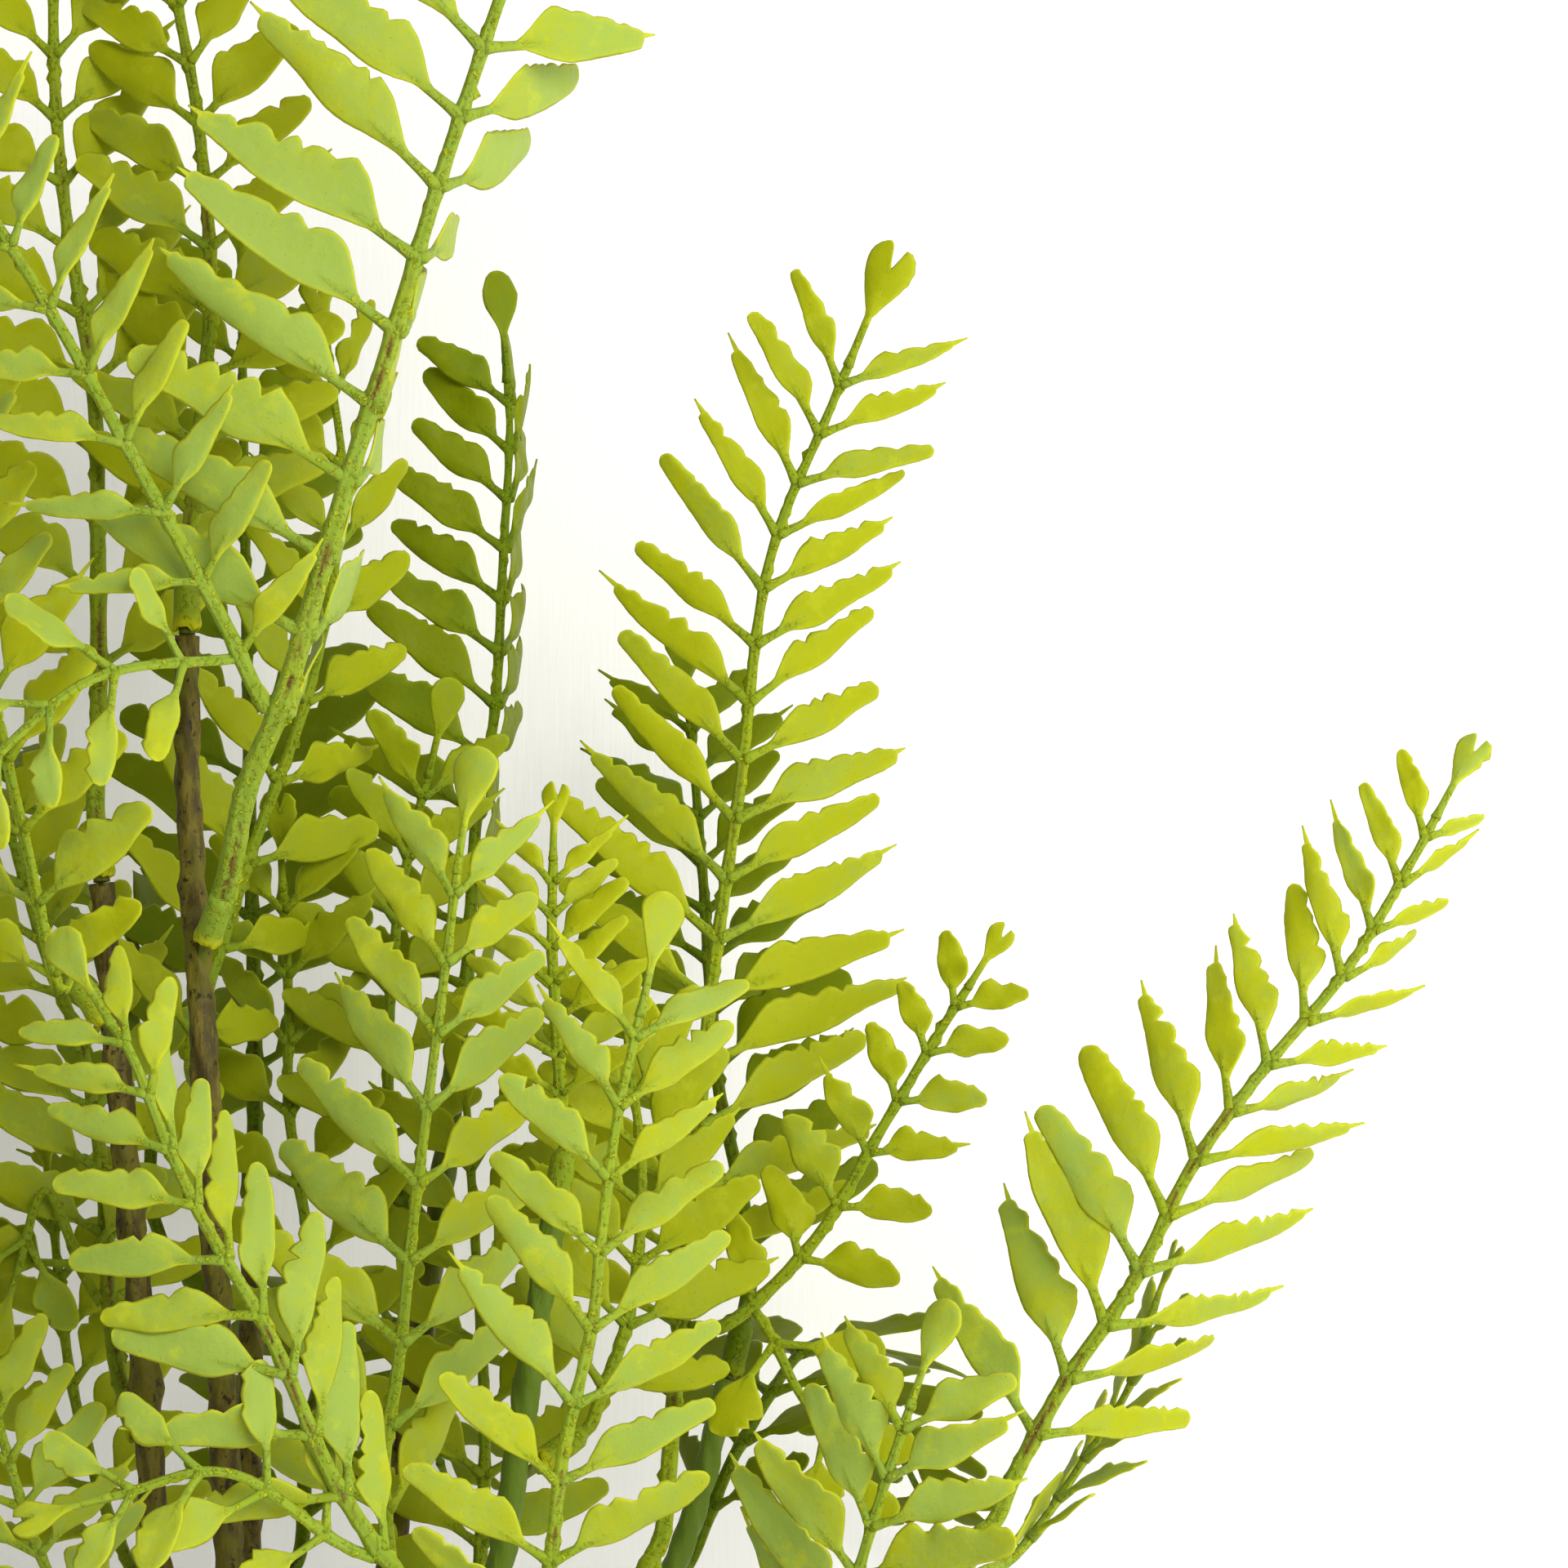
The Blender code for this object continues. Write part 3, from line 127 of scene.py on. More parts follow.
# fronds placed one by one: stem, height of the sleeve on it (None is the stem's top), the points the
# rib runs through, the way the upper face looks (azimuth, elevation; 0 is -Y, 90 is +X), pairs of
# leaflets, leaflet length, bare start, half width of the rib, lift of the left and right leaflets
frondList = [
    dict(stem="stem_02", at=.362, path=[(-.0045, -.044, .399), (.0035, -.050, .418),
         (.0125, -.055, .448), (.0235, -.058, .483), (.031, -.058, .508), (.040, -.056, .536),
         (.048, -.054, .560), (.060, -.050, .600)], face=(8, 10), pairs=15, leaf=.0395, bare=.050,
         half=.0023, left=2, right=-80, rightTip=-4, turnAt=.42, angle=76,
         limbs=[dict(pair=0, side=-1, path=[(-.008, -.056, .430), (-.022, -.062, .456),
                     (-.0375, -.064, .484), (-.0545, -.062, .512), (-.066, -.058, .536)],
                     face=(-4, 6), pairs=10, leaf=.022, bare=.012, half=.0014, left=0, right=18,
                     limbs=[dict(pair=0, side=-1, path=[(-.031, -.072, .419), (-.051, -.078, .402)],
                                 face=(-5, 20), pairs=4, leaf=.019, bare=.010, half=.0010, left=0,
                                 right=10, spatula=True)])]),
    dict(stem="stem_03", at=None, path=[(.072, .024, .256), (.0742, .026, .284),
         (.0773, .028, .3156), (.081, .030, .359), (.0867, .031, .400), (.0906, .031, .434),
         (.095, .030, .4516), (.103, .028, .470), (.108, .026, .482)], face=(-6, 4), pairs=17,
         leaf=.037, bare=.056, half=.0017, left=4, right=-30, angle=64, tipDrop=.44,
         limbs=[dict(pair=0, side=1, path=[(.0855, .020, .296), (.1015, .017, .312),
                     (.114, .016, .333), (.125, .015, .3515), (.131, .014, .361)], face=(4, 12),
                     pairs=7, leaf=.0165, bare=.016, half=.0013, left=0, right=4,
                     limbs=[dict(pair=0, side=1, path=[(.098, .012, .283), (.106, .010, .272)],
                                 face=(0, 10), pairs=2, leaf=.020, bare=.007, half=.0009, left=0,
                                 right=0, spatula=True)])]),
    dict(stem="stem_04", at=None, path=[(.139, -.021, .270), (.1485, -.022, .2875),
         (.161, -.024, .306), (.172, -.026, .328), (.186, -.026, .347), (.2015, -.025, .3655),
         (.214, -.022, .386), (.2185, -.020, .394)], face=(-12, 8), pairs=13, leaf=.034, bare=.030,
         half=.0016, left=-4, right=-52, rightTip=-60, tipDrop=.55),
    dict(stem="stem_05", at=.205, path=[(.047, -.046, .238), (.0517, -.056, .253),
         (.0547, -.061, .2766), (.060, -.064, .300), (.0617, -.065, .3156), (.0648, -.064, .339),
         (.069, -.061, .358)], face=(16, 12), pairs=10, leaf=.029, bare=.040, half=.0016, left=-6,
         right=10, tipDrop=.35),
    dict(stem="stem_06", at=None, path=[(.021, -.078, .262), (.0125, -.083, .277),
         (.003, -.087, .300), (-.008, -.088, .319), (-.0155, -.087, .334), (-.022, -.085, .350),
         (-.0265, -.083, .357)], face=(-10, 14), pairs=10, leaf=.028, bare=.020, half=.0016, left=4,
         right=-44, angle=66, angleRight=44, tipDrop=.40,
         limbs=[dict(pair=0, side=-1, path=[(-.004, -.090, .276), (-.026, -.094, .272)],
                     face=(-4, 24), pairs=4, leaf=.021, bare=.010, half=.0011, left=4, right=4,
                     spatula=True)]),
    dict(stem="stem_05", at=None, path=[(.053, -.007, .336), (.0522, -.011, .352),
         (.0513, -.013, .370), (.0515, -.013, .386)], face=(-4, 6), pairs=7, leaf=.0185, bare=.022,
         half=.0012, left=2, right=2, tipDrop=.35),
    dict(stem="stem_06", at=.205, path=[(.0225, -.044, .250), (.021, -.046, .272),
         (.024, -.047, .294), (.027, -.046, .323), (.031, -.044, .355), (.0345, -.040, .384)],
         face=(-16, 6), pairs=9, leaf=.030, bare=.050, half=.0015, left=4, right=-66, rightTip=-50,
         tipDrop=.35),
    dict(stem="stem_09", at=None, path=[(.033, .049, .367), (.0345, .051, .394), (.038, .052, .414),
         (.0395, .052, .441), (.041, .051, .468), (.0405, .050, .480)], face=(38, 4), pairs=12,
         leaf=.027, bare=.020, half=.0016, left=-36, right=-40, angle=68, tipDrop=.35),
    dict(stem="stem_04", at=.216, path=[(.106, -.050, .243), (.111, -.058, .262),
         (.1155, -.062, .277), (.1185, -.062, .286)], face=(-18, 12), pairs=6, leaf=.026, bare=.022,
         half=.0014, left=0, right=0, tipDrop=.35),
    dict(stem="stem_04", at=.238, path=[(.140, .006, .252), (.152, .010, .268), (.162, .011, .284),
         (.166, .010, .297)], face=(-74, 16), pairs=7, leaf=.019, bare=.020, half=.0013, left=0,
         right=0, tipDrop=.30),
    dict(stem="stem_02", at=None, path=[(-.017, -.008, .455), (-.015, -.006, .478),
         (-.014, -.005, .498), (-.0165, -.005, .527), (-.0205, -.006, .550), (-.026, -.010, .585)],
         face=(-12, 4), pairs=12, leaf=.025, bare=.022, half=.0016, left=2, right=-22, tipDrop=.35),
    dict(stem="stem_01", at=None, path=[(-.0355, -.004, .410), (-.036, .000, .448),
         (-.037, .002, .475), (-.043, .002, .515), (-.0445, .000, .550), (-.042, -.006, .590)],
         face=(14, 2), pairs=14, leaf=.026, bare=.040, half=.0018, left=6, right=-10, tipDrop=.30),
    dict(stem="stem_09", at=.300, path=[(.018, .030, .340), (.019, .030, .366), (.022, .030, .386),
         (.026, .028, .402)], face=(22, 6), pairs=6, leaf=.021, bare=.020, half=.0013, left=4,
         right=0, tipDrop=.25),
    dict(stem="stem_09", at=.262, path=[(.004, .028, .305), (-.001, .027, .335),
         (-.001, .025, .356), (-.002, .022, .380)], face=(-10, 4), pairs=7, leaf=.021, bare=.024,
         half=.0013, left=0, right=0, tipDrop=.25),
    dict(stem="stem_01", at=.272, path=[(-.034, .004, .300), (-.036, .010, .325),
         (-.040, .013, .348), (-.0475, .013, .368), (-.055, .010, .395)], face=(16, 4), pairs=9,
         leaf=.024, bare=.030, half=.0018, left=0, right=0, tipDrop=.25,
         limbs=[dict(pair=0, side=-1, path=[(-.046, .004, .322), (-.051, .000, .308)], face=(10, 6),
                     pairs=2, leaf=.021, bare=.008, half=.0010, left=0, right=0, spatula=True)]),
    dict(stem="stem_01", at=.346, path=[(-.041, -.030, .362), (-.0455, -.036, .385),
         (-.052, -.038, .415), (-.060, -.036, .450), (-.068, -.030, .480)], face=(-26, 6), pairs=10,
         leaf=.023, bare=.022, half=.0014, left=0, right=0, tipDrop=.35),
    dict(stem="stem_02", at=.330, path=[(-.018, .002, .350), (-.008, .012, .385),
         (.004, .016, .420), (.010, .014, .455), (.008, .008, .480)], face=(30, 2), pairs=9,
         leaf=.023, bare=.030, half=.0015, left=0, right=-10, tipDrop=.35),
    dict(stem="stem_01", at=.222, path=[(-.037, -.038, .244), (-.044, -.050, .262),
         (-.051, -.056, .288)], face=(-14, 20), pairs=6, leaf=.021, bare=.022, half=.0013, left=0,
         right=0, tipDrop=.25),
    dict(stem="stem_05", at=.215, path=[(.036, .022, .246), (.037, .028, .275), (.035, .029, .312),
         (.034, .026, .330)], face=(6, 6), pairs=8, leaf=.024, bare=.024, half=.0014, left=0,
         right=0, tipDrop=.25),
    dict(stem="stem_01", at=.236, path=[(-.036, .012, .262), (-.043, .020, .285),
         (-.047, .023, .318)], face=(20, 8), pairs=7, leaf=.023, bare=.022, half=.0014, left=0,
         right=0, tipDrop=.25),
    dict(stem="stem_05", at=.262, path=[(.060, .006, .282), (.066, .008, .300), (.068, .006, .325),
         (.066, .002, .345)], face=(10, 6), pairs=6, leaf=.024, bare=.020, half=.0013, left=0,
         right=0, tipDrop=.25),
]

# arching fronds of the sides and the back: stem, sleeve height (None is the top), azimuth it leans to
# (0 is -Y, 90 is +X), reach, rise of the middle, height of the end above the sleeve, pairs of
# leaflets, leaflet length
archList = [
    ("stem_07", None, 288, .105, .100, .120, 12, .028),
    ("stem_07", .262, 250, .120, .070, .050, 11, .027),
    ("stem_07", .215, 318, .110, .052, .010, 9, .026),
    ("stem_08", None, 262, .100, .105, .130, 12, .028),
    ("stem_08", .240, 232, .115, .068, .045, 10, .027),
    ("stem_08", .196, 285, .115, .040, -.010, 8, .026),
    ("stem_10", None, 186, .070, .130, .190, 13, .028),
    ("stem_10", .285, 228, .095, .105, .120, 10, .027),
    ("stem_10", .232, 164, .120, .060, .020, 9, .026),
    ("stem_11", None, 188, .060, .100, .135, 11, .028),
    ("stem_11", .235, 150, .110, .048, .010, 9, .026),
    ("stem_11", .190, 100, .115, .030, -.020, 8, .026),
    ("stem_12", None, 300, .080, .080, .080, 9, .027),
    ("stem_12", .205, 342, .095, .036, -.020, 8, .025),
    ("stem_03", .176, 62, .125, .045, -.005, 8, .026),
    ("stem_05", .170, 18, .120, .035, -.020, 7, .025),
    ("stem_10", .190, 212, .115, .030, -.025, 7, .025),
]


def samplePath(points, lead, steps):
    # points along a smooth line through the given points, starting the way lead points
    pts = [Vector(p) for p in points]
    tangents = []
    for i, p in enumerate(pts):
        if i == 0:
            span = (pts[1] - p).length
            tangents.append(lead.normalized() * span)
        elif i == len(pts) - 1:
            tangents.append(p - pts[i - 1])
        else:
            tangents.append((pts[i + 1] - pts[i - 1]) * .5)
    out = []
    for i in range(len(pts) - 1):
        a, b, ta, tb = pts[i], pts[i + 1], tangents[i], tangents[i + 1]
        for k in range(steps):
            t = k / steps
            t2, t3 = t * t, t * t * t
            out.append(a * (2 * t3 - 3 * t2 + 1) + ta * (t3 - 2 * t2 + t) + b * (3 * t2 - 2 * t3)
                       + tb * (t3 - t2))
    out.append(pts[-1])
    return out


class Path:
    # a line with its length, and the place and direction at any distance along it

    def __init__(self, points):
        self.points = points
        self.marks = [0.0]
        for a, b in zip(points, points[1:]):
            self.marks.append(self.marks[-1] + (b - a).length)
        self.length = self.marks[-1]
        ways = [(b - a).normalized() for a, b in zip(points, points[1:])]
        self.ways = [ways[0]]
        self.ways += [(a + b).normalized() for a, b in zip(ways, ways[1:])]
        self.ways.append(ways[-1])

    def at(self, dist):
        dist = min(max(dist, 0), self.length)
        lo, hi = 0, len(self.marks) - 1
        while hi - lo > 1:
            mid = (lo + hi) // 2
            if self.marks[mid] <= dist:
                lo = mid
            else:
                hi = mid
        part = (dist - self.marks[lo]) / max(self.marks[hi] - self.marks[lo], 1e-9)
        spot = self.points[lo].lerp(self.points[hi], part)
        return spot, self.ways[lo].lerp(self.ways[hi], part).normalized()


def lookWay(face):
    azimuth, elevation = (math.radians(a) for a in face)
    flat = math.cos(elevation)
    return Vector((math.sin(azimuth) * flat, -math.cos(azimuth) * flat, math.sin(elevation)))


def upright(way, look):
    # the part of look square to way
    return (look - way * look.dot(way)).normalized()


def placed(point):
    x, y, z = point
    spread, ground = frondMake["spread"], potMake["fillingTop"]
    return Vector((x * spread, y * spread, ground + (z - ground) * frondMake["rise"]))


def planStems():
    stems = {}
    for name, points in stemLines:
        pts = [placed(p) for p in points]
        foot = Vector((pts[0].x, pts[0].y, potMake["fillingTop"] + .004))
        depth = potMake["fillingTop"] - stemMake["holeDepth"] + potMake["fitGap"]
        bottom = Vector((foot.x, foot.y, depth))
        above = [foot + Vector((0, 0, .004))] + pts[1:]
        line = [bottom, foot] + samplePath(above, Vector((0, 0, 1)), 6)
        stems[name] = dict(path=Path(line), pegs=[])
    return stems


def stemRadius(stem, dist):
    part = dist / stem["path"].length
    return stemMake["footRadius"] + (stemMake["topRadius"] - stemMake["footRadius"]) * part


def distAtHeight(path, height):
    for i, p in enumerate(path.points):
        if p.z >= height:
            return path.marks[i]
    return path.length * .9


def frondStart(stem, frond):
    # mouth of the sleeve and the way it points
    path = stem["path"]
    first = placed(frond["path"][0])
    if frond["at"] is None:
        spot, way = path.at(path.length)
        return spot + way * frondMake["topGap"], way
    height = potMake["fillingTop"] + (frond["at"] - potMake["fillingTop"]) * frondMake["rise"]
    spot, up = path.at(distAtHeight(path, height))
    out = first - spot
    out = (out - up * out.dot(up)).normalized()
    way = (up * .62 + out * .785).normalized()
    return spot + way * frondMake["sleeveStandoff"], way


def archPath(spot, azimuth, reach, rise, end):
    turn = math.radians(azimuth)
    out = Vector((math.sin(turn), -math.cos(turn), 0))
    up = Vector((0, 0, 1))
    points = []
    for far, lift in ((.30, rise * .62), (.62, rise * .98), (1.0, end)):
        points.append(spot + out * reach * far * frondMake["spread"] + up * lift * frondMake["rise"])
    return points


def archFrond(stems, row):
    name, at, azimuth, reach, rise, end, pairs, leaf = row
    path = stems[name]["path"]
    spot = path.at(path.length if at is None else distAtHeight(path, at))[0]
    points = archPath(spot, azimuth, reach, rise, end)
    slope = math.degrees(math.atan2(rise, reach))
    spread, ground = frondMake["spread"], potMake["fillingTop"]
    spots = [(p.x / spread, p.y / spread, ground + (p.z - ground) / frondMake["rise"]) for p in points]
    return dict(stem=name, at=at, path=spots, face=(azimuth + 180, 90 - slope * .6), pairs=pairs,
                leaf=leaf, bare=.026, half=.0016, left=6, right=6, tipDrop=.40)


def ribHalf(rib, dist):
    part = dist / rib["path"].length
    return rib["half"] + (frondMake["ribTipHalf"] - rib["half"]) * part ** .9


def planRib(spec, start, way, owner, sleeve):
    # one rib (of a frond or of a side branch) with its leaflet places, and the ribs that leave it
    points = [placed(p) for p in spec["path"]]
    if sleeve:
        begin = start + way * (frondMake["sleeveLength"] + .002)
        line = [start, start + way * frondMake["sleeveLength"]] + samplePath([begin] + points, way, 8)
    else:
        line = samplePath([start] + points, way, 8)
    rib = dict(path=Path(line), half=spec["half"], spec=spec, owner=owner, sleeve=sleeve, limbs=[])
    rib["look"] = lookWay(spec["face"])
    first, last = spec["bare"], rib["path"].length - .003
    count = spec["pairs"]
    rib["spots"] = []
    for k in range(count):
        t = k / max(count - 1, 1)
        rib["spots"].append(first + (last - first - frondMake["stalkFoot"]) * t * (1.12 - .12 * t))
    return rib


def ribFrame(rib, dist):
    spot, way = rib["path"].at(dist)
    normal = upright(way, rib["look"])
    return spot, way, normal, way.cross(normal)


def planLimbs(rib, ribs):
    for limb in rib["spec"].get("limbs", []):
        dist = rib["spots"][limb["pair"]]
        spot, way, _, right = ribFrame(rib, dist)
        start = spot + right * limb["side"] * ribHalf(rib, dist)
        toward = (placed(limb["path"][0]) - start).normalized()
        lead = (toward + right * limb["side"] * .5 + way * .2).normalized()
        child = planRib(limb, start, lead, rib["owner"], False)
        rib["limbs"].append((limb["pair"], limb["side"]))
        ribs.append(child)
        planLimbs(child, ribs)


def leafAt(rib, side, dist, angle, lift, length, width, bend, roll, spatula):
    # a leaflet: where it leaves the rib, its three directions and its size
    spot, way, normal, right = ribFrame(rib, dist)
    out = right * side
    turned = out * math.cos(lift) + normal * math.sin(lift)
    up = normal * math.cos(lift) - out * math.sin(lift)
    along = way * math.cos(angle) + turned * math.sin(angle)
    across = upright(along, way)
    rolled = across * math.cos(roll) + up * math.sin(roll)
    up = up * math.cos(roll) - across * math.sin(roll)
    root = spot + out * ribHalf(rib, dist) * .9
    return dict(root=root, along=along, across=rolled, up=up, length=length, width=width, bend=bend,
                spatula=spatula)


def leafSpot(leaf, part):
    # centre line of a leaflet at a share of its length, with the local directions
    bend, size = leaf["bend"], leaf["length"]
    turn = bend * part
    if abs(bend) < 1e-4:
        x, z = part * size, 0.0
    else:
        x, z = size * math.sin(turn) / bend, -size * (1 - math.cos(turn)) / bend
    along = leaf["along"] * math.cos(turn) - leaf["up"] * math.sin(turn)
    up = leaf["up"] * math.cos(turn) + leaf["along"] * math.sin(turn)
    return leaf["root"] + leaf["along"] * x + leaf["up"] * z, along, up


# share of the length, share of the width above and below the centre line, share of the ridge
bladeRows = [(.25, .13, .13, .9), (.45, .58, .42, 1.0), (.78, .46, .34, .8)]
spatulaRows = [(.36, .12, .12, .9), (.66, .46, .44, 1.0), (.88, .42, .38, .8)]


def leafShell(leaf, grow):
    # a thin closed shell round a leaflet, grown by a margin, to try it against its neighbours
    verts, faces = [], []
    middle = spatulaRows if leaf["spatula"] else bladeRows
    rows = [(.10, .08, .08, .9)] + middle + [(1.0, .06, .06, .5)]
    for part, high, low, thick in rows:
        spot, along, up = leafSpot(leaf, part)
        across = leaf["across"]
        if part == 1.0:
            spot = spot + along * grow
        hi, lo = high * leaf["width"] + grow, low * leaf["width"] + grow
        top, under = frondMake["leafRidge"] * thick * .6 + grow, grow
        verts += [spot - across * lo + up * top, spot + across * hi + up * top,
                  spot + across * hi - up * under, spot - across * lo - up * under]
    for i in range(len(rows) - 1):
        a = i * 4
        for k in range(4):
            n = (k + 1) % 4
            faces.append((a + k, a + n, a + 4 + n, a + 4 + k))
    faces.append((0, 1, 2, 3))
    end = len(verts) - 4
    faces.append((end, end + 1, end + 2, end + 3))
    return verts, faces


def tubeShell(path, radius, grow):
    # a closed tube of six sides round a stem or a rib
    verts, faces = [], []
    count = max(2, int(path.length / .004))
    for i in range(count + 1):
        dist = path.length * i / count
        spot, way = path.at(dist)
        side = way.orthogonal().normalized()
        over = way.cross(side)
        r = (radius(dist) + grow) * 1.25
        for k in range(6):
            a = k * math.pi / 3
            verts.append(spot + side * math.cos(a) * r + over * math.sin(a) * r)
    for i in range(count):
        for k in range(6):
            n = (k + 1) % 6
            faces.append((i * 6 + k, i * 6 + n, i * 6 + 6 + n, i * 6 + 6 + k))
    return verts, faces


def boxOf(verts):
    return tuple([pick(v[i] for v in verts) for i in range(3)] for pick in (min, max))


class Crowd:
    # everything already standing, to find what a new piece would run into

    def __init__(self):
        self.items = []

    def add(self, verts, faces, owner, rib=None):
        tree = BVHTree.FromPolygons(verts, faces)
        self.items.append((*boxOf(verts), tree, owner, rib))

    def meets(self, verts, faces, skip):
        low, high = boxOf(verts)
        tree = None
        for bottom, top, other, owner, rib in self.items:
            if any(high[i] < bottom[i] or low[i] > top[i] for i in range(3)):
                continue
            if skip(owner, rib):
                continue
            if tree is None:
                tree = BVHTree.FromPolygons(verts, faces)
            if tree.overlap(other):
                return True
        return False


sideSteps = [
    (0, 0), (0, 1), (0, -1), (1, 0), (-1, 0), (0, 2), (0, -2), (1, 1), (-1, -1), (2, 0), (-2, 0),
    (1, -1), (-1, 1), (0, 3), (0, -3), (2, 2), (-2, -2), (3, 0), (-3, 0), (0, 4), (0, -4),
]


def shifted(spec, move):
    # the same frond with its middle pushed aside, so that it passes its neighbours
    moved = dict(spec)
    count, step = len(spec["path"]), frondMake["sideStep"]
    points = []
    for i, (x, y, z) in enumerate(spec["path"]):
        share = math.sin(math.pi * min(1, (i + 1) / (count * .6)) * .5)
        points.append((x + move[0] * step * share, y + move[1] * step * share, z))
    moved["path"] = points
    moved["limbs"] = [shifted(limb, move) for limb in spec.get("limbs", [])]
    return moved


def planFronds(stems, crowd):
    specs = [dict(f) for f in frondList] + [archFrond(stems, row) for row in archList]
    for name, stem in stems.items():
        verts, faces = tubeShell(stem["path"], lambda d, s=stem: stemRadius(s, d), 0)
        crowd.add(verts, faces, name)
    fronds = []
    for i, spec in enumerate(specs):
        name = "frond_%02d" % (i + 1)
        stem = stems[spec["stem"]]
        for move in sideSteps:
            trial = shifted(spec, move)
            start, way = frondStart(stem, trial)
            ribs = [planRib(trial, start, way, name, True)]
            planLimbs(ribs[0], ribs)
            shells = [tubeShell(r["path"], lambda d, r=r: ribHalf(r, d), frondMake["keepApart"])
                      for r in ribs]
            # only the first rib may touch the stem it stands on
            if not any(crowd.meets(v, f, lambda owner, _, own=spec["stem"], k=k: not k and owner == own)
                       for k, (v, f) in enumerate(shells)):
                break
        else:
            print("no clear way for", name)
        for rib in ribs:
            verts, faces = tubeShell(rib["path"], lambda d, r=rib: ribHalf(r, d), 0)
            crowd.add(verts, faces, name, id(rib))
        stem["pegs"].append(dict(start=start, way=way, top=spec["at"] is None))
        fronds.append(dict(name=name, ribs=ribs))
    return fronds


leafTurns = [
    (0, 0, 0, 1), (12, 0, 0, 1), (-12, 0, 0, 1), (0, -8, 14, 1), (22, -4, 0, .97),
    (-22, -4, 0, .97), (0, 8, -14, .97), (34, -8, 0, .94), (-34, -8, 0, .94), (12, -16, 24, .9),
    (-12, -16, -24, .9), (46, 0, 0, .9), (-46, 0, 0, .9), (0, 0, 0, .8), (22, -8, 20, .8),
    (-22, -8, -20, .8), (58, -10, 0, .8), (-58, -10, 0, .8), (0, -16, 0, .66), (30, 0, 0, .66),
    (-30, 0, 0, .66), (0, 0, 0, .5), (30, -10, 0, .5), (-30, -10, 0, .5), (50, -10, 0, .5),
    (-50, -10, 0, .5), (0, -20, 0, .38), (40, -20, 0, .38), (-40, -20, 0, .38),
]


# how much leaflets differ from each other: share of the length, then degrees
leafVary = {"size": .07, "angle": 5, "lift": 7, "bend": (4, 26), "roll": 12}


def either(rng, key):
    return rng.uniform(-leafVary[key], leafVary[key])


def planLeaf(rib, k, side, rng, crowd):
    spec = rib["spec"]
    count = len(rib["spots"])
    t = k / max(count - 1, 1)
    size = spec["leaf"] * frondMake["leafScale"] * (1 - spec.get("tipDrop", .3) * t ** 1.4)
    size *= .86 + .14 * min(1, t * 5)
    if side > 0:
        last = spec.get("rightTip", spec["right"])
        share = min(1, max(0, t - spec.get("turnAt", 0)) * 2.5)
        lift = spec["right"] + (last - spec["right"]) * share
    else:
        lift = spec["left"]
    size *= 1 + either(rng, "size")
    angle = spec.get("angle", 61) if side < 0 else spec.get("angleRight", spec.get("angle", 61))
    angle += -16 * t + either(rng, "angle")
    lift += either(rng, "lift")
    bend = math.radians(rng.uniform(*leafVary["bend"]))
    roll = either(rng, "roll")
    spatula = spec.get("spatula", False)
    width = frondMake["leafWidth"] * (1.15 if spatula else 1)
    dist = rib["spots"][k] + frondMake["stalkFoot"] * .5
    for addLift, addAngle, addRoll, shrink in leafTurns:
        turned = math.radians(max(-84, min(84, lift + addLift)))
        leaf = leafAt(rib, side, dist, math.radians(angle + addAngle), turned, size * shrink,
                      size * shrink * width, bend, math.radians(roll + addRoll), spatula)
        wide = leafShell(leaf, frondMake["keepApart"])
        tight = leafShell(leaf, frondMake["ownGap"])
        own, mine = rib["owner"], id(rib)
        if crowd.meets(*wide, lambda owner, part: owner == own):
            continue
        if crowd.meets(*tight, lambda owner, part: owner != own or part == mine):
            continue
        crowd.add(*tight, own, None)
        return leaf
    return None


def planEnd(rib, crowd):
    # the leaflet that ends a rib
    spec = rib["spec"]
    spot, way, normal, right = ribFrame(rib, rib["path"].length)
    base = spec["leaf"] * frondMake["leafScale"] * (1 - spec.get("tipDrop", .3)) * 1.05
    own = rib["owner"]
    for shrink in (1, .8, .6, .45, .3):
        size = base * shrink
        leaf = dict(root=spot, along=way, across=right, up=normal, length=size, width=size * .42,
                    bend=.15, spatula=True)
        if not crowd.meets(*leafShell(leaf, frondMake["keepApart"]), lambda owner, part: owner == own):
            break
    crowd.add(*leafShell(leaf, frondMake["ownGap"]), own, None)
    return leaf


def planLeaves(fronds, crowd):
    rng = random.Random(frondMake["seed"])
    lost = 0
    for frond in fronds:
        for rib in frond["ribs"]:
            rib["end"] = planEnd(rib, crowd)
    for frond in fronds:
        for rib in frond["ribs"]:
            rib["leaves"] = {}
            for k in range(len(rib["spots"])):
                for side in (-1, 1):
                    if (k, side) in rib["limbs"]:
                        continue
                    leaf = planLeaf(rib, k, side, rng, crowd)
                    if leaf is None:
                        lost += 1
                    else:
                        rib["leaves"][k, side] = leaf
    print("leaflets left out:", lost)


# what a user would change on the leaflets
leafLook = {
    "rowPitch": .00105,         # length of one step along a leaflet
    "thick": .00033,            # half the blade's thickness
    "edge": .0006,              # width of the thin rim
    "ribTall": .00085,          # how proud the midrib stands
    "ribWide": .00052,
    "stalkHalf": .00078,
    "fuller": 1.05,             # blade width against the solid's
    "longer": 1.17,
    "lobes": (3.0, 4.8),
    "lobeDepth": .16,          # share of the leaflet's width
    "hairShare": .26,           # leaflets with a hair of flash at the tip
    "cup": (-.0009, .0005),
    "ripple": .0005,
    "hair": (.0018, .0046),     # length of the hair
    "curl": (-.05, .02),        # shares of the leaflet's length
    "sickle": (-.035, .03),
    "twist": 16,                # degrees at the tip, either way
    "droop": .75,               # bend against the solid's
}


def ease(low, high, value):
    t = np.clip((value - low) / (high - low), 0, 1)
    return t * t * (3 - 2 * t)


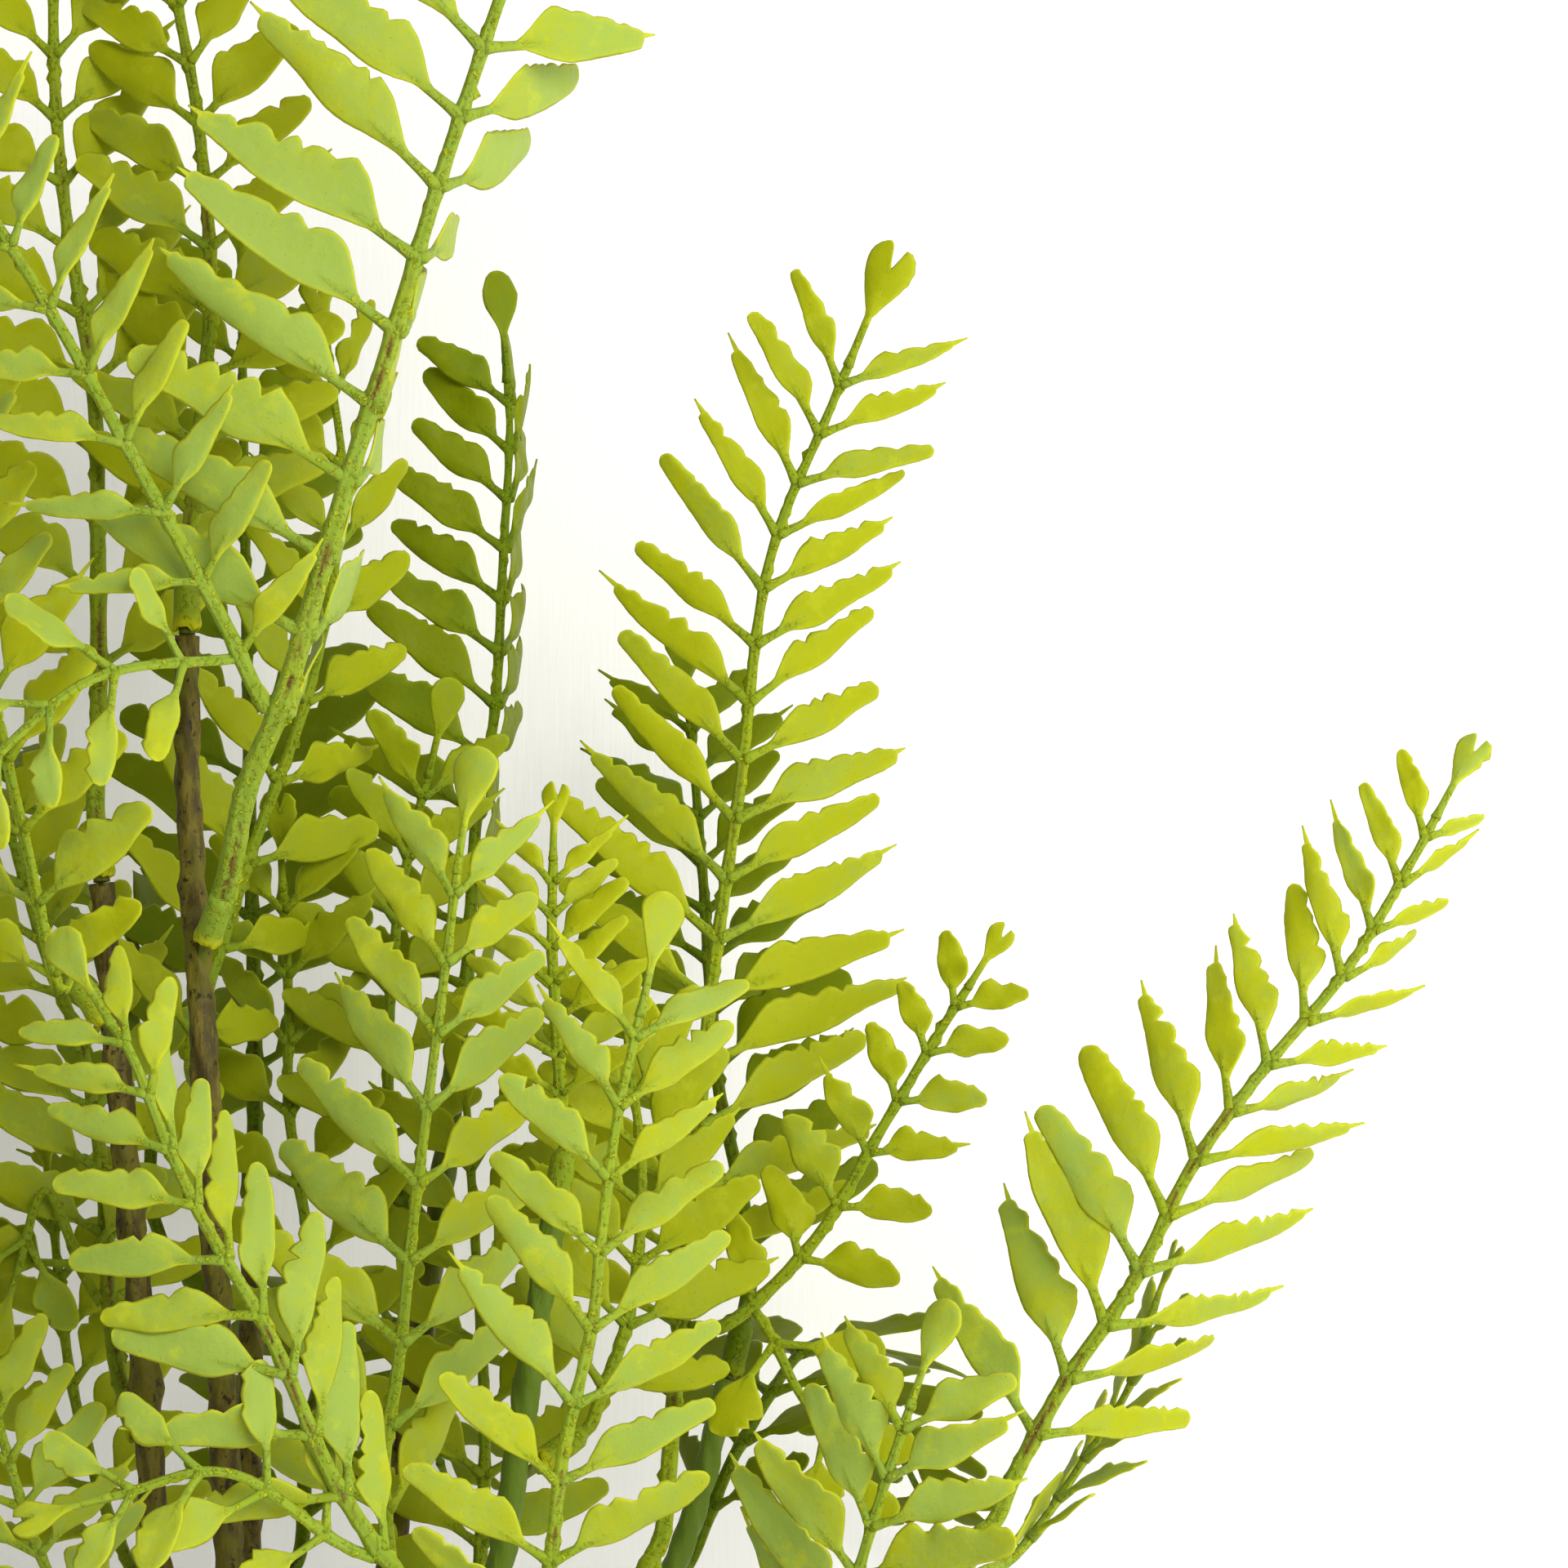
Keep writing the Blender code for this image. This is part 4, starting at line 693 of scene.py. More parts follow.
class Heap:
    # gathers the points, faces, masks and bake cells of one piece
    def __init__(self, masks):
        self.spots, self.groups, self.uvs = [], [], []
        self.masks = {name: [] for name in masks}
        self.count = self.cells = 0

    def grid(self, spots, masks, caps=(True, True)):
        # spots is rows x ring x 3; each row is joined to the next
        rows, ring = spots.shape[:2]
        first = self.count
        index = first + np.arange(rows * ring).reshape(rows, ring)
        nextRing = np.roll(index, -1, axis=1)
        quads = np.stack([index[:-1], nextRing[:-1], nextRing[1:], index[1:]], axis=-1).reshape(-1, 4)
        du, dv = 1 / (rows - 1), 1 / ring
        u0, v0 = np.meshgrid(np.arange(rows - 1) / (rows - 1), np.arange(ring) / ring, indexing="ij")
        corners = ((u0, v0), (u0, v0 + dv), (u0 + du, v0 + dv), (u0 + du, v0))
        uv = np.stack([np.stack(corner, -1) for corner in corners], axis=2).reshape(-1, 4, 2)
        self.groups.append(quads)
        self.uvs.append((uv, self.newCell()))
        for row, wanted, back in ((0, caps[0], True), (rows - 1, caps[1], False)):
            if wanted:
                loop = index[row][::-1] if back else index[row]
                self.groups.append(loop.reshape(1, -1))
                self.uvs.append((np.full((1, ring, 2), .002 if back else .998), self.cells - 1))
        self.spots.append(spots.reshape(-1, 3))
        for name in self.masks:
            value = masks.get(name, 0.0)
            self.masks[name].append(np.broadcast_to(value, (rows, ring)).reshape(-1).astype(np.float32))
        self.count += rows * ring

    def stretches(self, spots, masks, rowsPer):
        # a long tube in stretches, each with a bake cell of its own
        count = len(spots)
        for start in range(0, count - 1, rowsPer):
            stop = min(count, start + rowsPer + 1)
            if count - stop < 4:
                stop = count
            cut = {k: (v if np.isscalar(v) else v[start:stop]) for k, v in masks.items()}
            self.grid(spots[start:stop], cut, caps=(start == 0, stop == count))
            if stop == count:
                break

    def newCell(self):
        self.cells += 1
        return self.cells - 1

    def piece(self, name, material):
        side = math.ceil(math.sqrt(self.cells))
        mesh = bpy.data.meshes.new(name)
        points = np.concatenate(self.spots).astype(np.float32)
        mesh.vertices.add(len(points))
        mesh.vertices.foreach_set("co", points.ravel())
        corners = np.concatenate([g.ravel() for g in self.groups]).astype(np.int32)
        sizes = np.concatenate([np.full(len(g), g.shape[1]) for g in self.groups])
        mesh.loops.add(len(corners))
        mesh.loops.foreach_set("vertex_index", corners)
        mesh.polygons.add(len(sizes))
        starts = np.concatenate([[0], np.cumsum(sizes)[:-1]])
        mesh.polygons.foreach_set("loop_start", starts.astype(np.int32))
        mesh.polygons.foreach_set("use_smooth", np.ones(len(sizes), bool))
        mesh.update(calc_edges=True)
        spread = mesh.uv_layers.new(name="OFBake")
        flat = []
        for uv, cell in self.uvs:
            corner = np.array([cell % side, cell // side])
            flat.append(((corner + .03 + uv * .94) / side).reshape(-1, 2))
        spread.data.foreach_set("uv", np.concatenate(flat).astype(np.float32).ravel())
        for mask, parts in self.masks.items():
            layer = mesh.attributes.new(mask, "FLOAT", "POINT")
            layer.data.foreach_set("value", np.concatenate(parts))
        mesh.materials.append(material)
        item = bpy.data.objects.new(name, mesh)
        bpy.context.scene.collection.objects.link(item)
        return item


def sideWidths(leaf, part, dice):
    # half widths of a leaflet toward the frond's tip and toward its foot, along its length
    width, length = leaf["width"] * leafLook["fuller"] * leaf.get("wide", 1), leaf["length"]
    end = leaf.get("blunt", 0)
    foot = dice.uniform(.24, .30) if leaf["spatula"] else dice.uniform(.09, .13)
    shoulder = foot + (.42 if end else .30 if leaf["spatula"] else dice.uniform(.23, .33))
    belly = foot + (.44 if end else .34 if leaf["spatula"] else dice.uniform(.30, .42))
    slim = dice.uniform(.10, .19) if leaf["hair"] else dice.uniform(.28, .44)
    if leaf["spatula"]:
        slim = dice.uniform(.62, .85)
    stalk = leafLook["stalkHalf"] * (.72 + length * 11) * (1 + .45 * np.exp(-np.clip(part, 0, 1) / .05))
    past = np.clip((part - shoulder) / (1 - shoulder), 0, 1)
    high = width * .64 * ease(foot - .03, shoulder, part) * (1 - (1 - slim) * past ** 1.08)
    pastLow = np.clip((part - belly) / (1 - belly), 0, 1)
    low = width * .36 * ease(foot - .05, belly, part)
    low = low * (1 - (1 - max(slim, .45)) * .75 * pastLow ** 1.8)
    if end:
        wedge = ease(foot - .04, dice.uniform(.80, .90), part)
        high, low = width * .53 * wedge, width * .49 * wedge
    # the end is rounded over about its own width
    endShare = .20 if end else np.clip(width * slim * .55 / length, .035, .2)
    closing = np.clip((part - 1 + endShare) / endShare, 0, 1)
    close = np.sqrt(np.clip(1 - closing ** 2.2, 0, 1))
    # lobes stand along the edge that looks to the tip
    lobes = max(2, round(dice.uniform(*leafLook["lobes"]) * min(1.35, (length / .028) ** .8)))
    start = shoulder - .03
    walk = np.clip((part - start) / (.97 - start), 0, 1)
    walk = walk + .035 * np.sin(walk * 13 + dice.uniform(0, 6)) * walk * (1 - walk) * 4
    wave = np.abs(np.sin(math.pi * (walk * lobes + .1))) ** .85
    depth = leafLook["lobeDepth"] * leaf.get("lobes", 1) * width
    depth = depth * dice.uniform(.55, 1.4) * (.4 if end else 1)
    uneven = 1 + .45 * np.sin(walk * lobes * 1.9 + dice.uniform(0, 6))
    reach = ease(0, .10, walk) * (1 - ease(.90, 1, walk))
    high = high + depth * uneven * (wave - .66) * reach
    nibble = np.sin(part * length * 5200 + dice.uniform(0, 6))
    nibble = nibble * np.sin(part * length * 1900 + dice.uniform(0, 6))
    gentle = np.sin(part * dice.uniform(9, 16) + dice.uniform(0, 6))
    calm = ease(foot, foot + .15, part)
    high = high + .00007 * nibble * calm
    low = low + (depth * .18 * gentle - .00005 * nibble) * calm
    return np.maximum(high, stalk) * close, np.maximum(low, stalk) * close


def leafRows(leaf, hair):
    count = max(16, int(leaf["length"] / leafLook["rowPitch"]))
    part = np.linspace(-.03, 1, count)
    part = part + .012 * np.sin(part * math.pi * 2) * (part > 0)
    close = 1 - np.array([.018, .008, .002])
    part = np.sort(np.concatenate([part[:-1], close, [1.0]]))
    if hair:
        part = np.concatenate([part, 1 + np.array([.3, .65, 1.0]) * hair / leaf["length"]])
    return part


def addLeaf(heap, leaf, dice, toneAndFrontLight, deep=0.0):
    leaf = dict(leaf, length=leaf["length"] * leafLook["longer"])
    leaf["hair"] = not leaf["spatula"] and dice.random() < leaf.get("hairShare", leafLook["hairShare"])
    hair = dice.uniform(*leafLook["hair"]) if leaf["hair"] else 0
    part = leafRows(leaf, hair)
    body = np.clip(part, 0, 1)
    high, low = sideWidths(leaf, body, dice)
    if hair:
        needle = .00050 * (1 - .62 * ease(1, part[-1], part))
        high, low = np.maximum(high, needle), np.maximum(low, needle)
        high[part > 1], low[part > 1] = needle[part > 1], needle[part > 1]
    else:
        high[-1] = low[-1] = .00012
    bend, size = leaf["bend"] * leafLook["droop"], leaf["length"]
    turn = bend * part
    forth = size * np.sin(turn) / bend
    lift = -size * (1 - np.cos(turn)) / bend
    along0, up0, across = (np.array(leaf[k]) for k in ("along", "up", "across"))
    up = np.outer(np.cos(turn), up0) + np.outer(np.sin(turn), along0)
    along = np.outer(np.cos(turn), along0) - np.outer(np.sin(turn), up0)
    curl = dice.uniform(*leafLook["curl"]) * size
    sickle = dice.uniform(*leafLook["sickle"]) * size
    centre = np.array(leaf["root"]) + np.outer(forth, along0) + np.outer(lift + curl * body ** 3, up0)
    centre = centre + np.outer(sickle * body ** 2, across)

    # midrib: round on the stalk, then a wedge that sinks into the blade
    ribEnd = dice.uniform(.30, .42) + (.18 if leaf["spatula"] else 0)
    fade = np.clip(1 - np.clip(body - .06, 0, 1) / (ribEnd - .06), 0, 1) ** .8
    ribWide = leafLook["ribWide"] * (.30 + .70 * fade) * (.75 + size * 9)
    ribTall = leafLook["ribTall"] * fade * (.8 + size * 8)
    blade = ease(.08, .24, body) if not leaf["spatula"] else ease(.2, .45, body)
    thick = leafLook["thick"] * (1 - .35 * ease(.9, 1, body))
    columns = []
    for sign, half in ((-1, low), (1, high)):
        one = np.minimum(ribWide, half * .45)
        two = np.minimum(ribWide + .00042, half * .66)
        four = np.maximum(half - leafLook["edge"], half * .82)
        three = (two + four) / 2
        columns.append([sign * x for x in (one, two, three, four, half)])
    zero = np.zeros_like(part)
    ring = [columns[0][4], columns[0][3], columns[0][2], columns[0][1], columns[0][0], zero,
            columns[1][0], columns[1][1], columns[1][2], columns[1][3], columns[1][4],
            columns[1][3], columns[1][1], zero, columns[0][1], columns[0][3]]
    stalkTop = np.minimum(high, low) * .95
    flat = thick * blade + stalkTop * .8 * (1 - blade)
    top = {"edge": zero, "inner": flat * .72, "face": flat, "near": flat + ribTall * .12,
           "side": np.maximum(flat + ribTall * .62 * blade, stalkTop * (1 - blade) * 1.0),
           "crest": np.maximum(flat + ribTall * blade, stalkTop * (1 - blade) * 1.18)}
    order = ["edge", "inner", "face", "near", "side", "crest", "side", "near", "face", "inner", "edge"]
    heights = [top[k] for k in order]
    under = [-flat * .72, -flat, -(flat + ribTall * .35), -flat, -flat * .72]
    heights += under
    off = np.stack(ring, axis=1)
    rise = np.stack(heights, axis=1)
    half = np.where(off >= 0, high[:, None], low[:, None])
    share = np.abs(off) / np.maximum(half, 1e-6)
    cup = dice.uniform(*leafLook["cup"]) * leaf["width"] / .009
    swing = dice.uniform(0, 6)
    ripple = leafLook["ripple"] * np.sin(part * dice.uniform(9, 14) + swing)
    ripple = ripple[:, None] * np.sign(off + 1e-9)
    broad = half / max(leaf["width"] * .5, 1e-4)
    rise = rise + (cup * share ** 2 + ripple * share ** 2.2) * blade[:, None] * broad
    twist = math.radians(dice.uniform(-leafLook["twist"], leafLook["twist"])) * body ** 1.5
    back = off * np.sin(twist)[:, None] * .7
    notch = np.zeros_like(off)
    if leaf.get("blunt") and leaf["blunt"] > 1:
        depth = size * .22
        aside = leaf["width"] * .08
        notch = -depth * np.exp(-((off - aside) / (leaf["width"] * .11)) ** 2)
        notch = notch * ease(.70, 1, body)[:, None]
    spots = centre[:, None, :] + across[None, None, :] * off[:, :, None]
    spots = spots + up[:, None, :] * (rise + back)[:, :, None] + along[:, None, :] * notch[:, :, None]
    reach = (half - np.abs(off)) * 1000
    fromTip = (1 - body) * size * 1000
    rimMask = np.minimum(reach, fromTip[:, None] * .9 + .02)
    rimMask = np.where(blade[:, None] < .4, 3, rimMask)
    ribMask = np.zeros_like(off)
    ribMask[:, 4:7] = 1
    ribMask[:, 3] = ribMask[:, 7] = .35
    ribMask[:, 13] = .6
    ribMask = np.maximum(ribMask * fade[:, None], (1 - blade[:, None]) * .9)
    hand = np.dot(np.cross(along0, across), up0)
    if hand < 0:
        spots, rimMask, ribMask = spots[:, ::-1], rimMask[:, ::-1], ribMask[:, ::-1]
    heap.grid(spots, {"rim": rimMask, "rib": ribMask, "toneAndFrontLight": toneAndFrontLight, "deep": deep})


# what a user would change on the ribs
ribLook = {
    "rowPitch": .0013,
    "groove": .30,          # depth of the groove along the top
    "swell": .22,           # how much the rib thickens where leaflets leave it
    "fin": .00012,          # flash along both sides
    "burr": .0011,
    "stretch": .030,        # length of tube in one bake cell
}
ribAngles = np.radians([0, 15, 42, 68, 90, 112, 138, 165, 180, 195, 228, 270, 312, 345])


def ribNoise(dist, dice, scale):
    total = np.zeros_like(dist)
    for k in range(4):
        total += np.sin(dist * scale * (1.7 ** k) + dice.uniform(0, 6.28)) / (1.5 ** k)
    return total / 2.4


def addRib(heap, rib, dice, toneAndFrontLight, deep):
    begin = frondMake["sleeveLength"] * .92 if rib["sleeve"] else 0.0
    count = max(8, int((rib["path"].length - begin) / ribLook["rowPitch"]))
    dist = np.linspace(begin, rib["path"].length + .0012, count)
    half = np.array([ribHalf(rib, d) for d in dist])
    swell = np.zeros_like(dist)
    for spot in rib["spots"]:
        swell += np.exp(-((dist - spot - .0012) / .0022) ** 2)
    half = half * (1 + ribLook["swell"] * np.clip(swell, 0, 1)) * (1 + .03 * ribNoise(dist, dice, 700))
    frames = [ribFrame(rib, min(d, rib["path"].length)) for d in dist]
    extra = np.clip(dist - rib["path"].length, 0, 1)
    way = np.array([f[1] for f in frames])
    centre = np.array([f[0] for f in frames]) + way * extra[:, None]
    normal, right = np.array([f[2] for f in frames]), np.array([f[3] for f in frames])
    x = np.cos(ribAngles)[None, :] * half[:, None]
    y = np.sin(ribAngles)[None, :] * half[:, None] * .86
    groove = np.exp(-(np.cos(ribAngles) / .30) ** 2)[None, :] * (np.sin(ribAngles) > 0)[None, :]
    y = y - groove * half[:, None] * ribLook["groove"]
    shoulder = np.exp(-((np.abs(np.cos(ribAngles)) - .40) / .14) ** 2) * (np.sin(ribAngles) > 0)
    y = y + shoulder[None, :] * half[:, None] * .10
    flash = np.zeros_like(x)
    for column, sign in ((0, 1), (8, -1)):
        burr = np.clip(ribNoise(dist, dice, 1500) - .1, 0, 1) * ease(-.1, .5, ribNoise(dist, dice, 160))
        big = ribLook["burr"] * min(1.4, rib["half"] / .0016)
        x[:, column] += sign * (ribLook["fin"] + burr * big)
        y[:, column] += burr * big * .25
        flash[:, column] = .55 + .45 * np.clip(burr * 3, 0, 1)
    wire = np.zeros_like(x)
    if rib["half"] > .0015:
        seen = ease(.05, .75, ribNoise(dist, dice, 120) + .35)
        seen = seen * (1 - ease(.45, .9, dist / rib["path"].length))
        wire[:, 4] = seen
        wire[:, 3] = wire[:, 5] = seen * .4
    spots = centre[:, None, :] + right[:, None, :] * x[:, :, None] + normal[:, None, :] * y[:, :, None]
    masks = {"rim": 3.0, "rib": 1.0, "toneAndFrontLight": toneAndFrontLight, "deep": deep, "flash": flash, "wire": wire}
    heap.stretches(spots, masks, max(6, int(ribLook["stretch"] / ribLook["rowPitch"])))


def addSleeve(heap, rib, dice, toneAndFrontLight, deep):
    # the sleeve that is pushed over a peg
    length = frondMake["sleeveLength"]
    hole = stemMake["pegHalf"] + potMake["fitGap"]
    outer = max(hole + frondMake["sleeveWall"], rib["half"])
    around = np.linspace(0, 2 * math.pi, 20, endpoint=False)
    rows = [(.0055, hole * 1.02, 0), (.0004, hole * 1.05, 0), (-.0001, hole * 1.25, .5),
            (-.0003, outer * 1.06, 1), (.0003, outer * 1.16, 1), (.0012, outer * 1.12, .6),
            (.0026, outer * 1.05, 0), (.0050, outer * 1.04, 0), (.0075, outer * 1.03, 0),
            (length, outer * .98, 0), (length + .0016, ribHalf(rib, length) * 1.05, 0)]
    spots, flash = [], []
    ragged = .0004 * np.sin(around * 3 + dice.uniform(0, 6))
    ragged = ragged + .0003 * np.sin(around * 7 + dice.uniform(0, 6))
    for dist, radius, torn in rows:
        spot, way, normal, right = ribFrame(rib, max(dist, 0))
        spot = spot + way * min(dist, 0)
        ring = [spot + right * math.cos(a) * radius + normal * math.sin(a) * radius + way * torn * r
                for a, r in zip(around, ragged)]
        spots.append([tuple(p) for p in ring])
        flash.append(np.full(20, torn))
    heap.grid(np.array(spots), {"rim": 3.0, "rib": 1.0, "toneAndFrontLight": toneAndFrontLight, "deep": deep,
                                "flash": np.array(flash)})


# painted light: outer fronds at the front are painted cooler and paler, with a painted sheen, and those
# deep in the bush get painted shade, darker
frondTweaks = {
    "frond_01": {"long": 1.05, "wideLeft": .94, "wideRight": .92, "hair": .7, "lobesRight": .35},
    "frond_02": {"deep": .18, "wideLeft": .76, "wideRight": .76, "sideWide": 2.1},
    "frond_03": {"deep": 0, "toneAndFrontLight": .45, "hair": .5, "wideLeft": .95, "wideRight": .68},
    "frond_04": {"wideLeft": .95, "wideRight": .95},
    "frond_05": {"wideLeft": 1.1, "long": 1.02},
    "frond_07": {"wideLeft": 1.1, "wideRight": 1.05, "long": 1.05},
    "frond_08": {"deep": .85, "wideLeft": 1.2, "wideRight": 1.15, "long": 1.06},
    "frond_09": {"deep": 0, "toneAndFrontLight": .25, "hair": .5, "wideLeft": 1.35, "wideRight": 1.35, "long": 1.12},
    "frond_10": {"deep": 0, "toneAndFrontLight": .3},
}


def makeFrond(frond, material, seed):
    dice = random.Random(seed)
    heap = Heap(["rim", "rib", "toneAndFrontLight", "deep", "flash", "wire"])
    tweak = frondTweaks.get(frond["name"], {})
    path = frond["ribs"][0]["path"]
    middle = path.at(path.length * .6)[0]
    if frond["name"] > "frond_10":
        tweak = dict({"long": 1.05, "wideLeft": 1.32, "wideRight": 1.32}, **tweak)
    # painted shade: fronds whose middle stands further back (+y) get a darker colour, or the table's
    # value
    deep = tweak.get("deep", float(ease(-.035, .07, middle.y)) * .95)
    # tone: a random spread plus painted light, fronds further forward (-y) lean to the paler, bluer
    # cool colour
    base = tweak.get("toneAndFrontLight", float(ease(-.09, .03, middle.y)) * .6 + dice.uniform(.05, .3))
    for k, rib in enumerate(frond["ribs"]):
        if k == 0:
            addSleeve(heap, rib, dice, base, deep)
        addRib(heap, rib, dice, base, deep)
        for key in sorted(rib["leaves"]):
            leaf = dict(rib["leaves"][key])
            leaf["wide"] = tweak.get("wideRight" if key[1] > 0 else "wideLeft", 1)
            leaf["wide"] *= dice.uniform(.92, 1.1)
            leaf["wide"] *= tweak.get("sideWide", 1) if k else 1
            leaf["lobes"] = tweak.get("lobesRight", 1) if key[1] > 0 else 1
            leaf["hairShare"] = tweak.get("hair", leafLook["hairShare"])
            leaf["length"] *= tweak.get("long", 1)
            addLeaf(heap, leaf, dice, min(1, max(0, base + dice.uniform(-.25, .25))), deep)
        end = dict(rib["end"])
        end["blunt"] = 1 + (dice.random() < .6)
        addLeaf(heap, end, dice, base, deep)
    item = heap.piece(frond["name"] + "_plastic", material)
    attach(item, "root")
    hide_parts(frond["name"])
    return item


# what a user would change on the stems
stemLook = {"rowPitch": .0011, "around": 22, "rough": .00021, "knots": .030, "knotTall": .00080,
            "freshTop": .88, "stretch": .04}


def addStem(heap, stem, dice):
    path = stem["path"]
    begin = stemMake["holeDepth"] - .004
    count = int((path.length - begin) / stemLook["rowPitch"])
    dist = np.linspace(begin, path.length, count)
    side = Vector((1, 0, 0))
    around = np.linspace(0, 2 * math.pi, stemLook["around"], endpoint=False)
    bumps = []
    spot = begin + dice.uniform(.02, .04)
    while spot < path.length - .006:
        for _ in range(dice.randint(2, 5)):
            bumps.append((spot + dice.uniform(-.005, .005), dice.uniform(0, 2 * math.pi),
                          dice.uniform(.4, 1.2)))
        spot += stemLook["knots"] * dice.uniform(.55, 1.7)
    rows, knots = [], []
    waves = [(dice.uniform(200, 900), dice.randint(1, 5), dice.uniform(0, 6.28)) for _ in range(9)]
    for d in dist:
        centre, way = path.at(d)
        side = upright(way, side)
        over = way.cross(side)
        radius = np.full(len(around), stemRadius(stem, d))
        for pace, turns, start in waves:
            radius = radius + stemLook["rough"] * .45 * np.sin(d * pace + around * turns + start)
        knot = np.zeros(len(around))
        for place, angle, size in bumps:
            if abs(place - d) < .006:
                gap = np.angle(np.exp(1j * (around - angle)))
                here = np.exp(-((d - place) / .0013) ** 2) * np.exp(-(gap / .38) ** 2) * size
                knot = knot + here
                radius = radius + .00022 * np.exp(-((d - place) / .0035) ** 2) * .5
        radius = radius + knot * stemLook["knotTall"]
        ring = (np.array(centre)[None, :] + np.outer(np.cos(around) * radius, np.array(side))
                + np.outer(np.sin(around) * radius, np.array(over)))
        rows.append(ring)
        knots.append(np.clip(knot, 0, 1))
    rows, knots = np.array(rows), np.array(knots)
    fresh = ease(.14, .24, rows[:, :, 2]) * ease(.020, .035, rows[:, :, 0]) * stemLook["freshTop"]
    rowsPer = max(8, int(stemLook["stretch"] / stemLook["rowPitch"]))
    heap.stretches(rows, {"knot": knots, "fresh": fresh}, rowsPer)
    for peg in stem["pegs"]:
        addPeg(heap, peg)


def addPeg(heap, peg):
    way = peg["way"]
    back = stemMake["pegRootTop" if peg["top"] else "pegRoot"]
    length = stemMake["pegReach"]
    around = np.linspace(0, 2 * math.pi, 12, endpoint=False)
    side = way.orthogonal().normalized()
    over = way.cross(side)
    rows = []
    for k in range(9):
        far = -back + (back + length) * k / 8
        thick = stemMake["pegHalf"] * (1.0 + (.55 if k < 2 else .12 * math.sin(k * 2.1)) * (1 - k / 9))
        spot = peg["start"] + way * far
        rows.append([tuple(spot + side * math.cos(a) * thick + over * math.sin(a) * thick)
                     for a in around])
    heap.grid(np.array(rows), {"knot": 0.0, "fresh": .4})


def makeStem(name, stem, material, seed):
    heap = Heap(["knot", "fresh"])
    addStem(heap, stem, random.Random(seed))
    item = heap.piece(name + "_bark", material)
    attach(item, "root")
    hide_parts(name)
    return item


# what a user would change on the pot: its outline is rounded, with a turned lip
potLook = {"around": 128, "lipRound": .0022, "footRound": .003}


def wallAt(height):
    flare = potMake["mouthRadius"] - potMake["footRadius"]
    return potMake["footRadius"] + flare * height / potMake["height"]


def roundCorner(before, corner, after, radius, steps=6):
    a, b, c = Vector(before), Vector(corner), Vector(after)
    one, two = (a - b), (c - b)
    radius = min(radius, one.length * .49, two.length * .49)
    start, stop = b + one.normalized() * radius, b + two.normalized() * radius
    points = []
    for k in range(steps + 1):
        t = k / steps
        points.append(start * (1 - t) ** 2 + b * 2 * t * (1 - t) + stop * t ** 2)
    return [tuple(p) for p in points]


def potOutline():
    height, lip = potMake["height"], potMake["height"] - potMake["rimHeight"]
    out = wallAt(lip) + potMake["rimOverhang"]
    inside = wallAt(height) - potMake["wall"]
    wall, floor = potMake["wall"], potMake["floor"]
    corners = [(.0005, 0), (potMake["footRadius"] - .0004, 0), (wallAt(.020), .020),
               (wallAt(lip) - .0002, lip - .0005), (out - .0002, lip), (out + .0004, height),
               (inside, height), (wallAt(.1) - wall, .100), (wallAt(floor) - wall, floor),
               (.0005, floor)]
    turned = potLook["lipRound"]
    rounds = [0, potLook["footRound"], 0, .0006, turned * .6, turned, turned * .8, 0, .002, 0]
    points = [corners[0]]
    for k in range(1, len(corners) - 1):
        if rounds[k]:
            points += roundCorner(corners[k - 1], corners[k], corners[k + 1], rounds[k])
        else:
            points.append(corners[k])
    points.append(corners[-1])
    full = []
    for a, b in zip(points, points[1:]):
        steps = max(1, int(math.hypot(a[0] - b[0], a[1] - b[1]) / .008))
        full += [(a[0] + (b[0] - a[0]) * k / steps, a[1] + (b[1] - a[1]) * k / steps)
                 for k in range(steps)]
    return full + [points[-1]]


def makePot(material):
    outline = potOutline()
    around = np.linspace(0, 2 * math.pi, potLook["around"], endpoint=False)
    rows = np.array([[(r * math.cos(a), r * math.sin(a), z) for a in around] for r, z in outline])
    heap = Heap(["edge"])
    bright = np.array([1.0 if z > potMake["height"] - .003 else 0.0 for r, z in outline])
    heap.grid(rows, {"edge": bright[:, None]})
    item = heap.piece("pot_shell", material)
    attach(item, "root")
    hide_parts("pot")
    return item


# what a user would change on the grit of the filling
gritLook = {"grains": 2600, "small": .0011, "large": .0027, "spread": .0655, "rings": 34, "around": 96,
            "dome": .0016, "below": .0022, "underside": .085, "seed": 7}


def gritDome(radius):
    return gritLook["dome"] * (1 - (radius / .07) ** 2)


